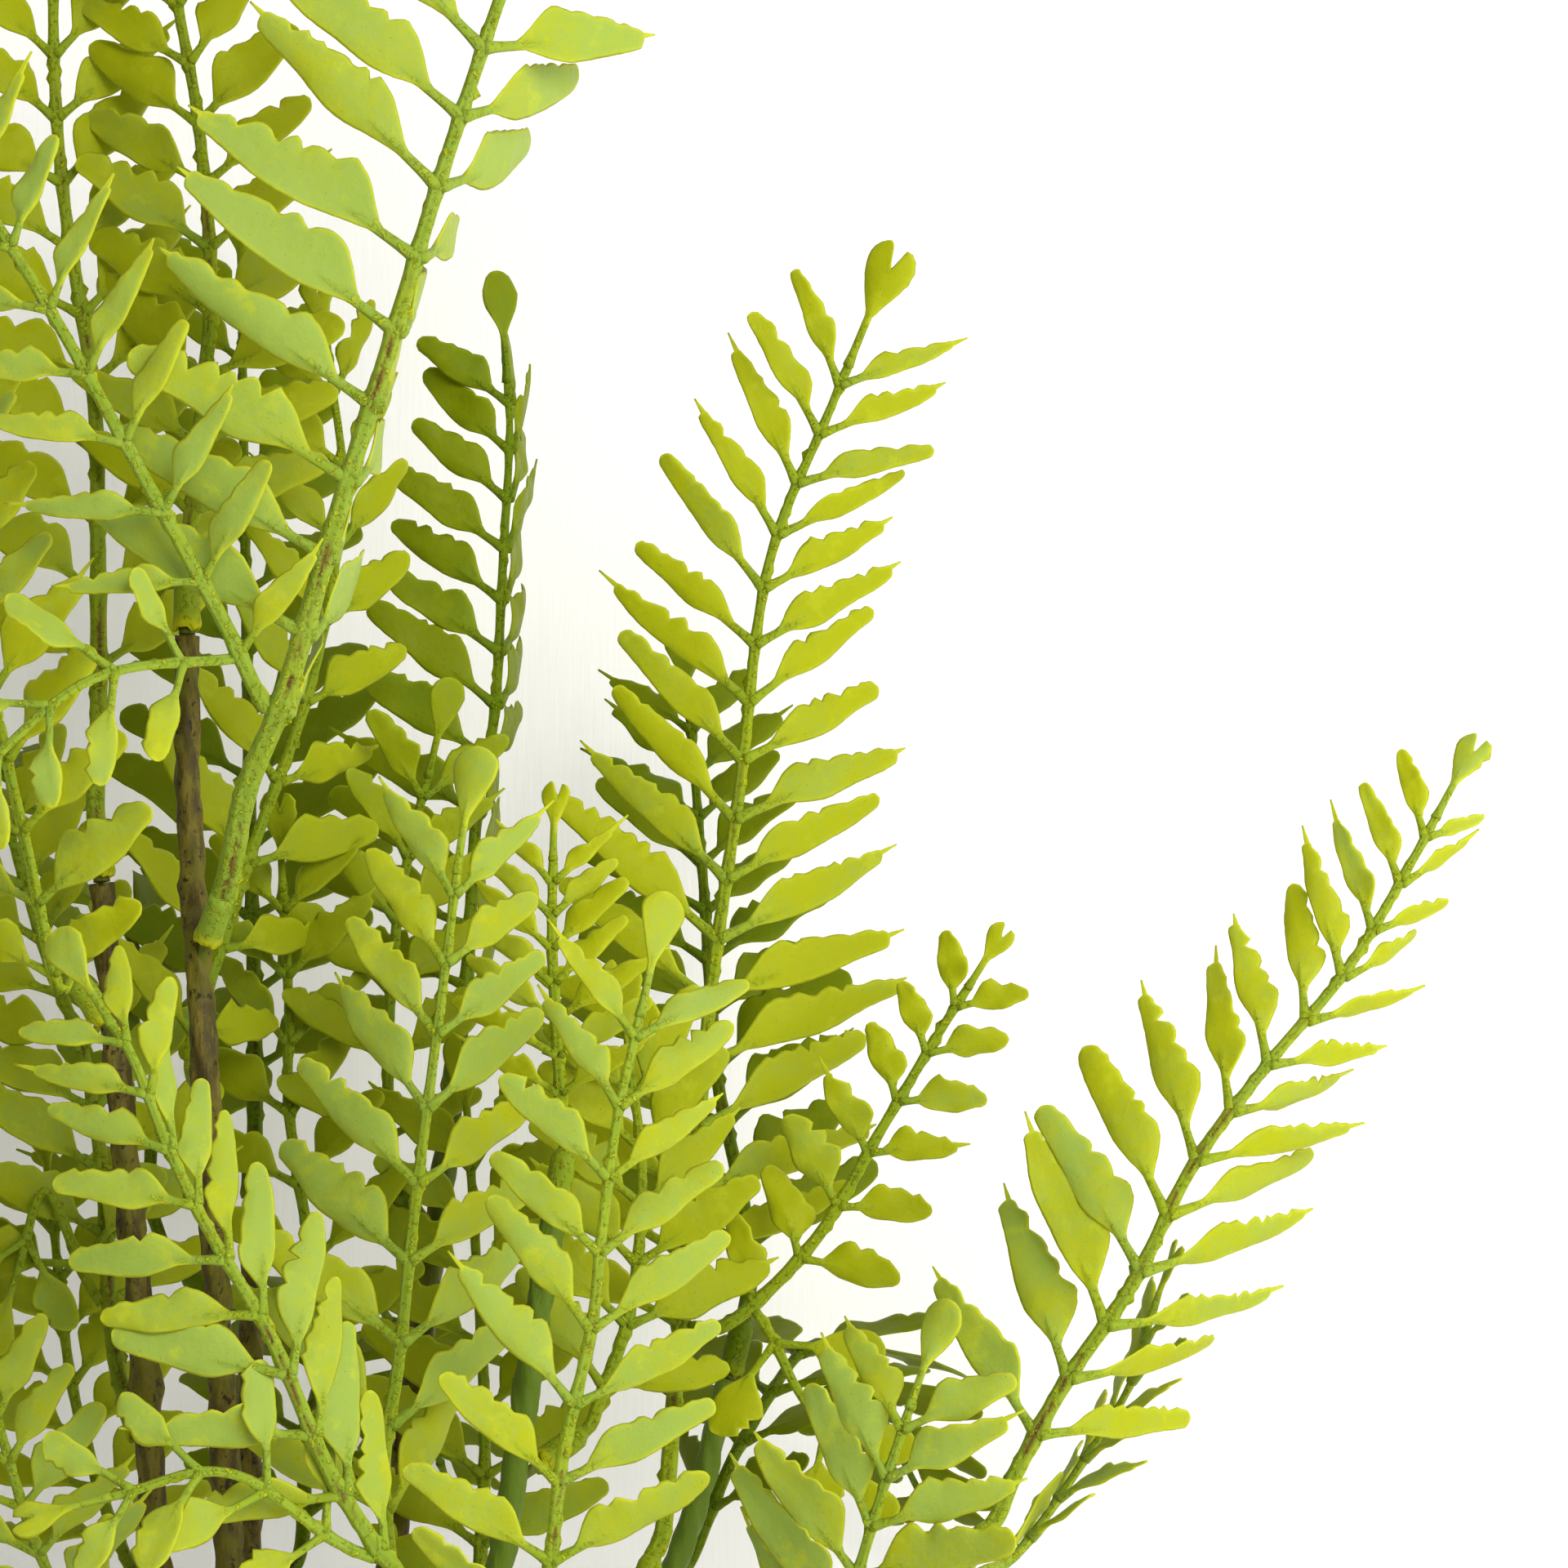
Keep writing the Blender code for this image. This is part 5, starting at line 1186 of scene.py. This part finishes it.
def makeFilling(material, stems):
    dice = random.Random(gritLook["seed"])
    heap = Heap(["grain"])
    rings, around = gritLook["rings"], gritLook["around"]
    rows = []
    top = potMake["fillingTop"] - gritLook["below"]
    for k in range(rings):
        radius = .0008 + (wallAt(top) - potMake["wall"] - .0006) * k / (rings - 1)
        row = []
        for j in range(around):
            a = 2 * math.pi * j / around
            x, y = radius * math.cos(a), radius * math.sin(a)
            bump = .0009 * math.sin(x * 310 + 1) * math.sin(y * 270)
            bump += .0005 * math.sin(x * 900 + y * 700)
            row.append((x, y, top + bump + gritDome(radius)))
        rows.append(row)
    skin = rows[::-1]
    under = gritLook["underside"]
    lower = wallAt(under) - potMake["wall"] - .0006
    turns = [2 * math.pi * j / around for j in range(around)]
    skin = [[(lower * math.cos(a), lower * math.sin(a), under) for a in turns]] + skin
    heap.grid(np.array(skin), {"grain": 0.0})
    seedBall = bmesh.new()
    bmesh.ops.create_icosphere(seedBall, subdivisions=1, radius=1)
    ball = np.array([v.co for v in seedBall.verts])
    tris = np.array([[v.index for v in f.verts] for f in seedBall.faces])
    seedBall.free()
    feet = [(s["path"].points[0].x, s["path"].points[0].y) for s in stems.values()]
    placedCount = 0
    spots, faces, tones = [], [], []
    for k in range(gritLook["grains"]):
        radius = gritLook["spread"] * math.sqrt(dice.random())
        a = dice.uniform(0, 2 * math.pi)
        x, y = radius * math.cos(a), radius * math.sin(a)
        size = gritLook["small"] + (gritLook["large"] - gritLook["small"]) * dice.random() ** 2.2
        if any(math.hypot(x - fx, y - fy) < stemMake["footRadius"] + size * .9 for fx, fy in feet):
            continue
        if radius + size > wallAt(potMake["fillingTop"]) - potMake["wall"]:
            continue
        stretch = np.array([dice.uniform(.75, 1.25), dice.uniform(.75, 1.25), dice.uniform(.55, .95)])
        wobble = 1 + .22 * np.array([dice.uniform(-1, 1) for j in range(len(ball))])
        turn = dice.uniform(0, 6.28)
        spin = np.array([[math.cos(turn), -math.sin(turn), 0],
                         [math.sin(turn), math.cos(turn), 0], [0, 0, 1]])
        grain = (ball * wobble[:, None] * stretch * size) @ spin.T
        level = top + gritDome(radius) + size * .45 + dice.random() * .0009
        spots.append(grain + np.array([x, y, level]))
        faces.append(tris + placedCount * len(ball))
        tones.append(np.full(len(ball), dice.random()))
        placedCount += 1
    first = heap.count
    heap.spots.append(np.concatenate(spots))
    heap.groups.append(np.concatenate(faces) + first)
    cellCorners = np.random.default_rng(5).uniform(.05, .95, (len(heap.groups[-1]), 1, 2))
    heap.uvs.append((cellCorners + np.array([[[0, 0], [.01, 0], [0, .01]]]), heap.newCell()))
    heap.masks["grain"].append(np.concatenate(tones).astype(np.float32) * .8 + .2)
    heap.count += placedCount * len(ball)
    item = heap.piece("filling_grit", material)
    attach(item, "root")
    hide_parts("filling")
    return item


def newMaterial(name):
    mat = bpy.data.materials.new(name)
    mat.use_nodes = True
    return mat, mat.node_tree, mat.node_tree.nodes["Principled BSDF"]


def addNode(tree, kind, **values):
    made = tree.nodes.new(kind)
    for key, value in values.items():
        if key.startswith("set_"):
            setattr(made, key[4:], value)
        else:
            numbered = key.startswith("in") and key[2:].isdigit()
            socket = made.inputs[int(key[2:]) if numbered else key]
            if isinstance(value, bpy.types.NodeSocket):
                tree.links.new(value, socket)
            else:
                socket.default_value = value
    return made


def mask(tree, name):
    return addNode(tree, "ShaderNodeAttribute", set_attribute_name=name).outputs["Fac"]


def noiseOf(tree, scale, detail=3, rough=.5, stretch=None):
    place = addNode(tree, "ShaderNodeTexCoord").outputs["Object"]
    if stretch:
        place = addNode(tree, "ShaderNodeMapping", Vector=place, Scale=stretch).outputs[0]
    return addNode(tree, "ShaderNodeTexNoise", Vector=place, Scale=scale, Detail=detail,
                   Roughness=rough).outputs["Fac"]


def remap(tree, value, low, high, outLow=0.0, outHigh=1.0):
    return addNode(tree, "ShaderNodeMapRange", set_interpolation_type="SMOOTHSTEP", in0=value, in1=low,
                   in2=high, in3=outLow, in4=outHigh).outputs[0]


def maths(tree, how, a, b=0.0, c=0.0):
    return addNode(tree, "ShaderNodeMath", set_operation=how, in0=a, in1=b, in2=c).outputs[0]


def blendColour(tree, share, a, b, how="MIX"):
    made = addNode(tree, "ShaderNodeMix", set_data_type="RGBA", set_blend_type=how, in0=share)
    for socket, value in ((made.inputs[6], a), (made.inputs[7], b)):
        if isinstance(value, bpy.types.NodeSocket):
            tree.links.new(value, socket)
        else:
            socket.default_value = (*value, 1)
    return made.outputs[2]


def bumpFrom(tree, shader, height, distance, strength=1.0, under=None):
    made = addNode(tree, "ShaderNodeBump", Height=height, Distance=distance, Strength=strength)
    if under is not None:
        tree.links.new(under, made.inputs["Normal"])
    tree.links.new(made.outputs[0], shader.inputs["Normal"])
    return made.outputs[0]


# colours of the soft plastic, from the middle of a blade to its rim
plasticColours = {
    # cool: the blade's middle green, with its blue raised to stand as a painted pale sheen
    "coolWithSheen": (.288, .392, .060),
    "lime": (.380, .410, .005),
    "rim": (.470, .505, .020),
    "rib": (.205, .305, .018),
    "flash": (.520, .500, .004),
    "wire": (.150, .070, .020),
    "speck": (.100, .140, .002),
    "shade": (.33, .40, .02),
}
plasticBody = {"Subsurface Weight": .22, "Subsurface Radius": (.9, 1.0, .25), "Subsurface Scale": .0012,
               "Specular IOR Level": .07}


def frondMaterial():
    mat, tree, shader = newMaterial("limePlastic")
    c = plasticColours
    wide = noiseOf(tree, 55, 3, .55)
    mottle = noiseOf(tree, 420, 4, .6)
    toneAndFrontLight = mask(tree, "toneAndFrontLight")
    uneven = maths(tree, "MULTIPLY_ADD", wide, .70, maths(tree, "MULTIPLY", mottle, .45))
    # the tone mask, partly random and partly painted front light, mixes the cool and lime greens
    mixed = maths(tree, "MULTIPLY_ADD", toneAndFrontLight, .62, uneven)
    colour = blendColour(tree, remap(tree, mixed, .58, 1.08), c["coolWithSheen"], c["lime"])
    rim = mask(tree, "rim")
    nearRim = maths(tree, "ADD", rim, maths(tree, "MULTIPLY_ADD", mottle, .9, -.45))
    colour = blendColour(tree, remap(tree, nearRim, 1.5, .2, 0, .30), colour, c["rim"])
    colour = blendColour(tree, remap(tree, nearRim, .60, .20, 0, .80), colour, c["rim"])
    blotch = remap(tree, noiseOf(tree, 150, 4, .65), .56, .70, 0, .50)
    colour = blendColour(tree, blotch, colour, c["rim"])
    patchy = remap(tree, noiseOf(tree, 160, 3), .3, .7, .6, 1)
    rib = maths(tree, "MULTIPLY", mask(tree, "rib"), patchy)
    colour = blendColour(tree, maths(tree, "MULTIPLY", rib, .85), colour, c["rib"])
    colour = blendColour(tree, maths(tree, "MULTIPLY", mask(tree, "flash"), .85), colour, c["flash"])
    grains = maths(tree, "MULTIPLY", rib, remap(tree, noiseOf(tree, 900, 3, .6), .54, .63))
    colour = blendColour(tree, maths(tree, "MULTIPLY", grains, .55), colour, c["flash"])
    broken = remap(tree, noiseOf(tree, 420, 3, .6, (1, 1, .5)), .44, .55)
    colour = blendColour(tree, maths(tree, "MULTIPLY", mask(tree, "wire"), broken), colour, c["wire"])
    specks = remap(tree, noiseOf(tree, 2300, 2, .5), .69, .76)
    colour = blendColour(tree, maths(tree, "MULTIPLY", specks, .6), colour, c["speck"])
    # painted shade: the colour is multiplied by the shade colour as far as the deep-shade mask reaches
    shaded = blendColour(tree, 1.0, colour, c["shade"], "MULTIPLY")
    colour = blendColour(tree, mask(tree, "deep"), colour, shaded)
    tree.links.new(colour, shader.inputs["Base Color"])
    tree.links.new(remap(tree, noiseOf(tree, 300, 4), .3, .7, .40, .58), shader.inputs["Roughness"])
    for socket, value in plasticBody.items():
        shader.inputs[socket].default_value = value
    fine = bumpFrom(tree, shader, noiseOf(tree, 2600, 3, .6), .00004, .6)
    grainy = bumpFrom(tree, shader, grains, .0006, .9, fine)
    bumpFrom(tree, shader, noiseOf(tree, 380, 4, .6), .0004, .65, grainy)
    return mat


# colours of the bark, the pot and the grit
barkColours = {"wood": (.052, .038, .004), "pale": (.160, .126, .016), "dark": (.010, .006, .001),
               "moss": (.130, .118, .004), "green": (.105, .180, .008)}


def barkMaterial():
    mat, tree, shader = newMaterial("barkPlastic")
    c = barkColours
    long = noiseOf(tree, 420, 5, .7, (1, 1, .22))
    colour = blendColour(tree, remap(tree, long, .40, .64), c["wood"], c["pale"])
    patch = noiseOf(tree, 60, 3, .6)
    colour = blendColour(tree, remap(tree, patch, .48, .66, 0, .8), colour, c["moss"])
    cracks = remap(tree, noiseOf(tree, 520, 4, .7, (1, 1, .8)), .57, .64, 0, .85)
    colour = blendColour(tree, cracks, colour, c["dark"])
    colour = blendColour(tree, maths(tree, "MULTIPLY", mask(tree, "knot"), .55), colour, c["moss"])
    colour = blendColour(tree, mask(tree, "fresh"), colour, c["green"])
    tree.links.new(colour, shader.inputs["Base Color"])
    tree.links.new(remap(tree, long, .3, .7, .45, .75), shader.inputs["Roughness"])
    shader.inputs["Specular IOR Level"].default_value = .2
    fine = bumpFrom(tree, shader, noiseOf(tree, 1400, 4, .65, (1, 1, .4)), .00022, .8)
    bumpFrom(tree, shader, long, .0006, .7, fine)
    return mat


potColours = {"shell": (.030, .031, .031), "dust": (.085, .082, .076)}


def potMaterial():
    mat, tree, shader = newMaterial("potPlastic")
    c = potColours
    haze = noiseOf(tree, 22, 5, .6)
    colour = blendColour(tree, remap(tree, haze, .42, .75, 0, .35), c["shell"], c["dust"])
    scuff = remap(tree, noiseOf(tree, 700, 3, .7, (1, 1, .25)), .64, .74)
    worn = maths(tree, "MULTIPLY_ADD", mask(tree, "edge"), .5, .12)
    colour = blendColour(tree, maths(tree, "MULTIPLY", scuff, worn), colour, c["dust"])
    tree.links.new(colour, shader.inputs["Base Color"])
    tree.links.new(remap(tree, haze, .3, .75, .36, .52), shader.inputs["Roughness"])
    fine = bumpFrom(tree, shader, noiseOf(tree, 1900, 3, .6), .00006, .8)
    bumpFrom(tree, shader, noiseOf(tree, 160, 2, .5), .0002, .25, fine)
    return mat


gritColours = {"dark": (.030, .018, .010), "warm": (.150, .085, .040), "pale": (.360, .270, .170)}


def gritMaterial():
    mat, tree, shader = newMaterial("brownGrit")
    c = gritColours
    grain = mask(tree, "grain")
    colour = blendColour(tree, remap(tree, grain, .1, .8), c["dark"], c["warm"])
    colour = blendColour(tree, remap(tree, grain, .86, .98), colour, c["pale"])
    dirt = remap(tree, noiseOf(tree, 1300, 4, .7), .35, .7, 0, .5)
    colour = blendColour(tree, dirt, colour, c["dark"])
    tree.links.new(colour, shader.inputs["Base Color"])
    tree.links.new(remap(tree, noiseOf(tree, 800, 3), .3, .7, .7, .95), shader.inputs["Roughness"])
    bumpFrom(tree, shader, noiseOf(tree, 1800, 5, .7), .0004, .8)
    return mat


# what a user would change in the studio: a cloth that runs from floor to wall, and a floor behind it
studioLook = {"wallAt": .192, "cove": .08, "half": 1.6, "tall": 1.7, "front": -3.2, "back": 3.2,
              "cloth": (.90, .888, .860), "clothGlow": .08, "floor": (.90, .895, .885), "air": .15}


def studioMaterial(name, colour, oneSided, glow=0.0):
    mat, tree, shader = newMaterial(name)
    weave = noiseOf(tree, 900, 3, .6, (1, 1, .06))
    duller = tuple(x * .985 for x in colour)
    woven = blendColour(tree, remap(tree, weave, .3, .7), colour, duller)
    tree.links.new(woven, shader.inputs["Base Color"])
    shader.inputs["Roughness"].default_value = .9
    shader.inputs["Emission Color"].default_value = (1, .995, .98, 1)
    shader.inputs["Emission Strength"].default_value = glow
    bumpFrom(tree, shader, weave, .0003, .3)
    if oneSided:
        clear = addNode(tree, "ShaderNodeBsdfTransparent")
        back = addNode(tree, "ShaderNodeNewGeometry").outputs["Backfacing"]
        both = addNode(tree, "ShaderNodeMixShader", in0=back, in1=shader.outputs[0],
                       in2=clear.outputs[0])
        tree.links.new(both.outputs[0], tree.nodes["Material Output"].inputs["Surface"])
    return mat


def makeStudio():
    s = studioLook
    flatEnd = s["wallAt"] - s["cove"]
    outline = [(s["front"], 0), (flatEnd, 0)]
    for k in range(1, 13):
        a = math.pi / 2 * k / 12
        outline.append((flatEnd + s["cove"] * math.sin(a), s["cove"] - s["cove"] * math.cos(a)))
    outline.append((s["wallAt"], s["tall"]))
    verts, faces = [], []
    for y, z in outline:
        verts += [(-s["half"], y, z), (s["half"], y, z)]
    for k in range(len(outline) - 1):
        a = k * 2
        faces.append((a, a + 1, a + 3, a + 2))
    paper = bpy.data.meshes.new("backdrop")
    paper.from_pydata(verts, [], faces)
    for poly in paper.polygons:
        poly.use_smooth = True
    paper.materials.append(studioMaterial("whiteCloth", s["cloth"], True, s["clothGlow"]))
    backdrop = bpy.data.objects.new("backdrop", paper)
    behind = bpy.data.meshes.new("floorBehind")
    w, y0, y1, low = s["half"], flatEnd, s["back"], -.0004
    behind.from_pydata([(-w, y0, low), (w, y0, low), (w, y1, low), (-w, y1, low)], [], [(0, 1, 2, 3)])
    behind.materials.append(studioMaterial("whiteFloor", s["floor"], False))
    floor = bpy.data.objects.new("floorBehind", behind)
    for item in (backdrop, floor):
        bpy.context.scene.collection.objects.link(item)
    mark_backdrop(backdrop, floor)


# name, place, aimed at, width, height, watts, colour
lamps = [
    ("keySoftbox", (.62, -1.75, 1.15), (.05, 0, .35), .8, .8, 22.5, (1, .99, .97)),
    ("fillSoftbox", (-1.2, -1.7, .5), (.05, 0, .35), 1.0, 1.2, 2.6, (.98, .99, 1)),
    ("wallSoftbox", (1.15, -.9, .75), (.45, .19, .40), .8, 1.2, 15, (1, 1, 1)),
]


def makeLights():
    for name, place, aim, width, height, watts, colour in lamps:
        data = bpy.data.lights.new(name, "AREA")
        data.shape, data.size, data.size_y = "RECTANGLE", width, height
        data.energy, data.color = watts, colour
        item = bpy.data.objects.new(name, data)
        item.location = place
        item.rotation_euler = (Vector(aim) - Vector(place)).to_track_quat("-Z", "Y").to_euler()
        bpy.context.scene.collection.objects.link(item)
    world = bpy.data.worlds.new("studioAir")
    world.use_nodes = True
    world.node_tree.nodes["Background"].inputs["Color"].default_value = (1, 1, 1, 1)
    world.node_tree.nodes["Background"].inputs["Strength"].default_value = studioLook["air"]
    bpy.context.scene.world = world
    bpy.context.scene.view_settings.view_transform = "Standard"


# what a user would change on the camera, which looks level along +Y
cameraLook = {"place": (.0953, -1.5, .400), "lens": 180, "sensor": 36}


def makeCamera():
    data = bpy.data.cameras.new("camera")
    data.lens, data.sensor_width = cameraLook["lens"], cameraLook["sensor"]
    item = bpy.data.objects.new("camera", data)
    item.location = cameraLook["place"]
    item.rotation_euler = (math.pi / 2, 0, 0)
    bpy.context.scene.collection.objects.link(item)
    bpy.context.scene.camera = item


# first seed of each kind, and how far a frond may stand off its solid unreported
startSeeds = {"frond": 100, "stem": 300}
looseGap = .006

stems = planStems()
crowd = Crowd()
fronds = planFronds(stems, crowd)
for name in ("pot", "filling"):
    solid = cadNodes[name].data
    crowd.add([v.co.copy() for v in solid.vertices], [tuple(p.vertices) for p in solid.polygons], name)
planLeaves(fronds, crowd)
print("places worked out:", len(fronds), "fronds")

leafPlastic = frondMaterial()
for number, frond in enumerate(fronds):
    made = makeFrond(frond, leafPlastic, startSeeds["frond"] + number)
    low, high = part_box(frond["name"])
    least = [min(v.co[i] for v in made.data.vertices) for i in range(3)]
    gap = max(abs(a - b) for a, b in zip(low, least))
    if gap > looseGap:
        print("check", frond["name"], "stands", round(gap * 1000, 1), "mm past its solid")
faces = sum(len(o.data.polygons) for o in bpy.data.objects if o.name.endswith("_plastic"))
print("fronds made:", faces, "faces")

barkSkin = barkMaterial()
for number, (name, stem) in enumerate(stems.items()):
    makeStem(name, stem, barkSkin, startSeeds["stem"] + number)
print("stems made")

makePot(potMaterial())
makeFilling(gritMaterial(), stems)
print("pot and filling made")

makeStudio()
makeLights()
makeCamera()

low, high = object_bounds()
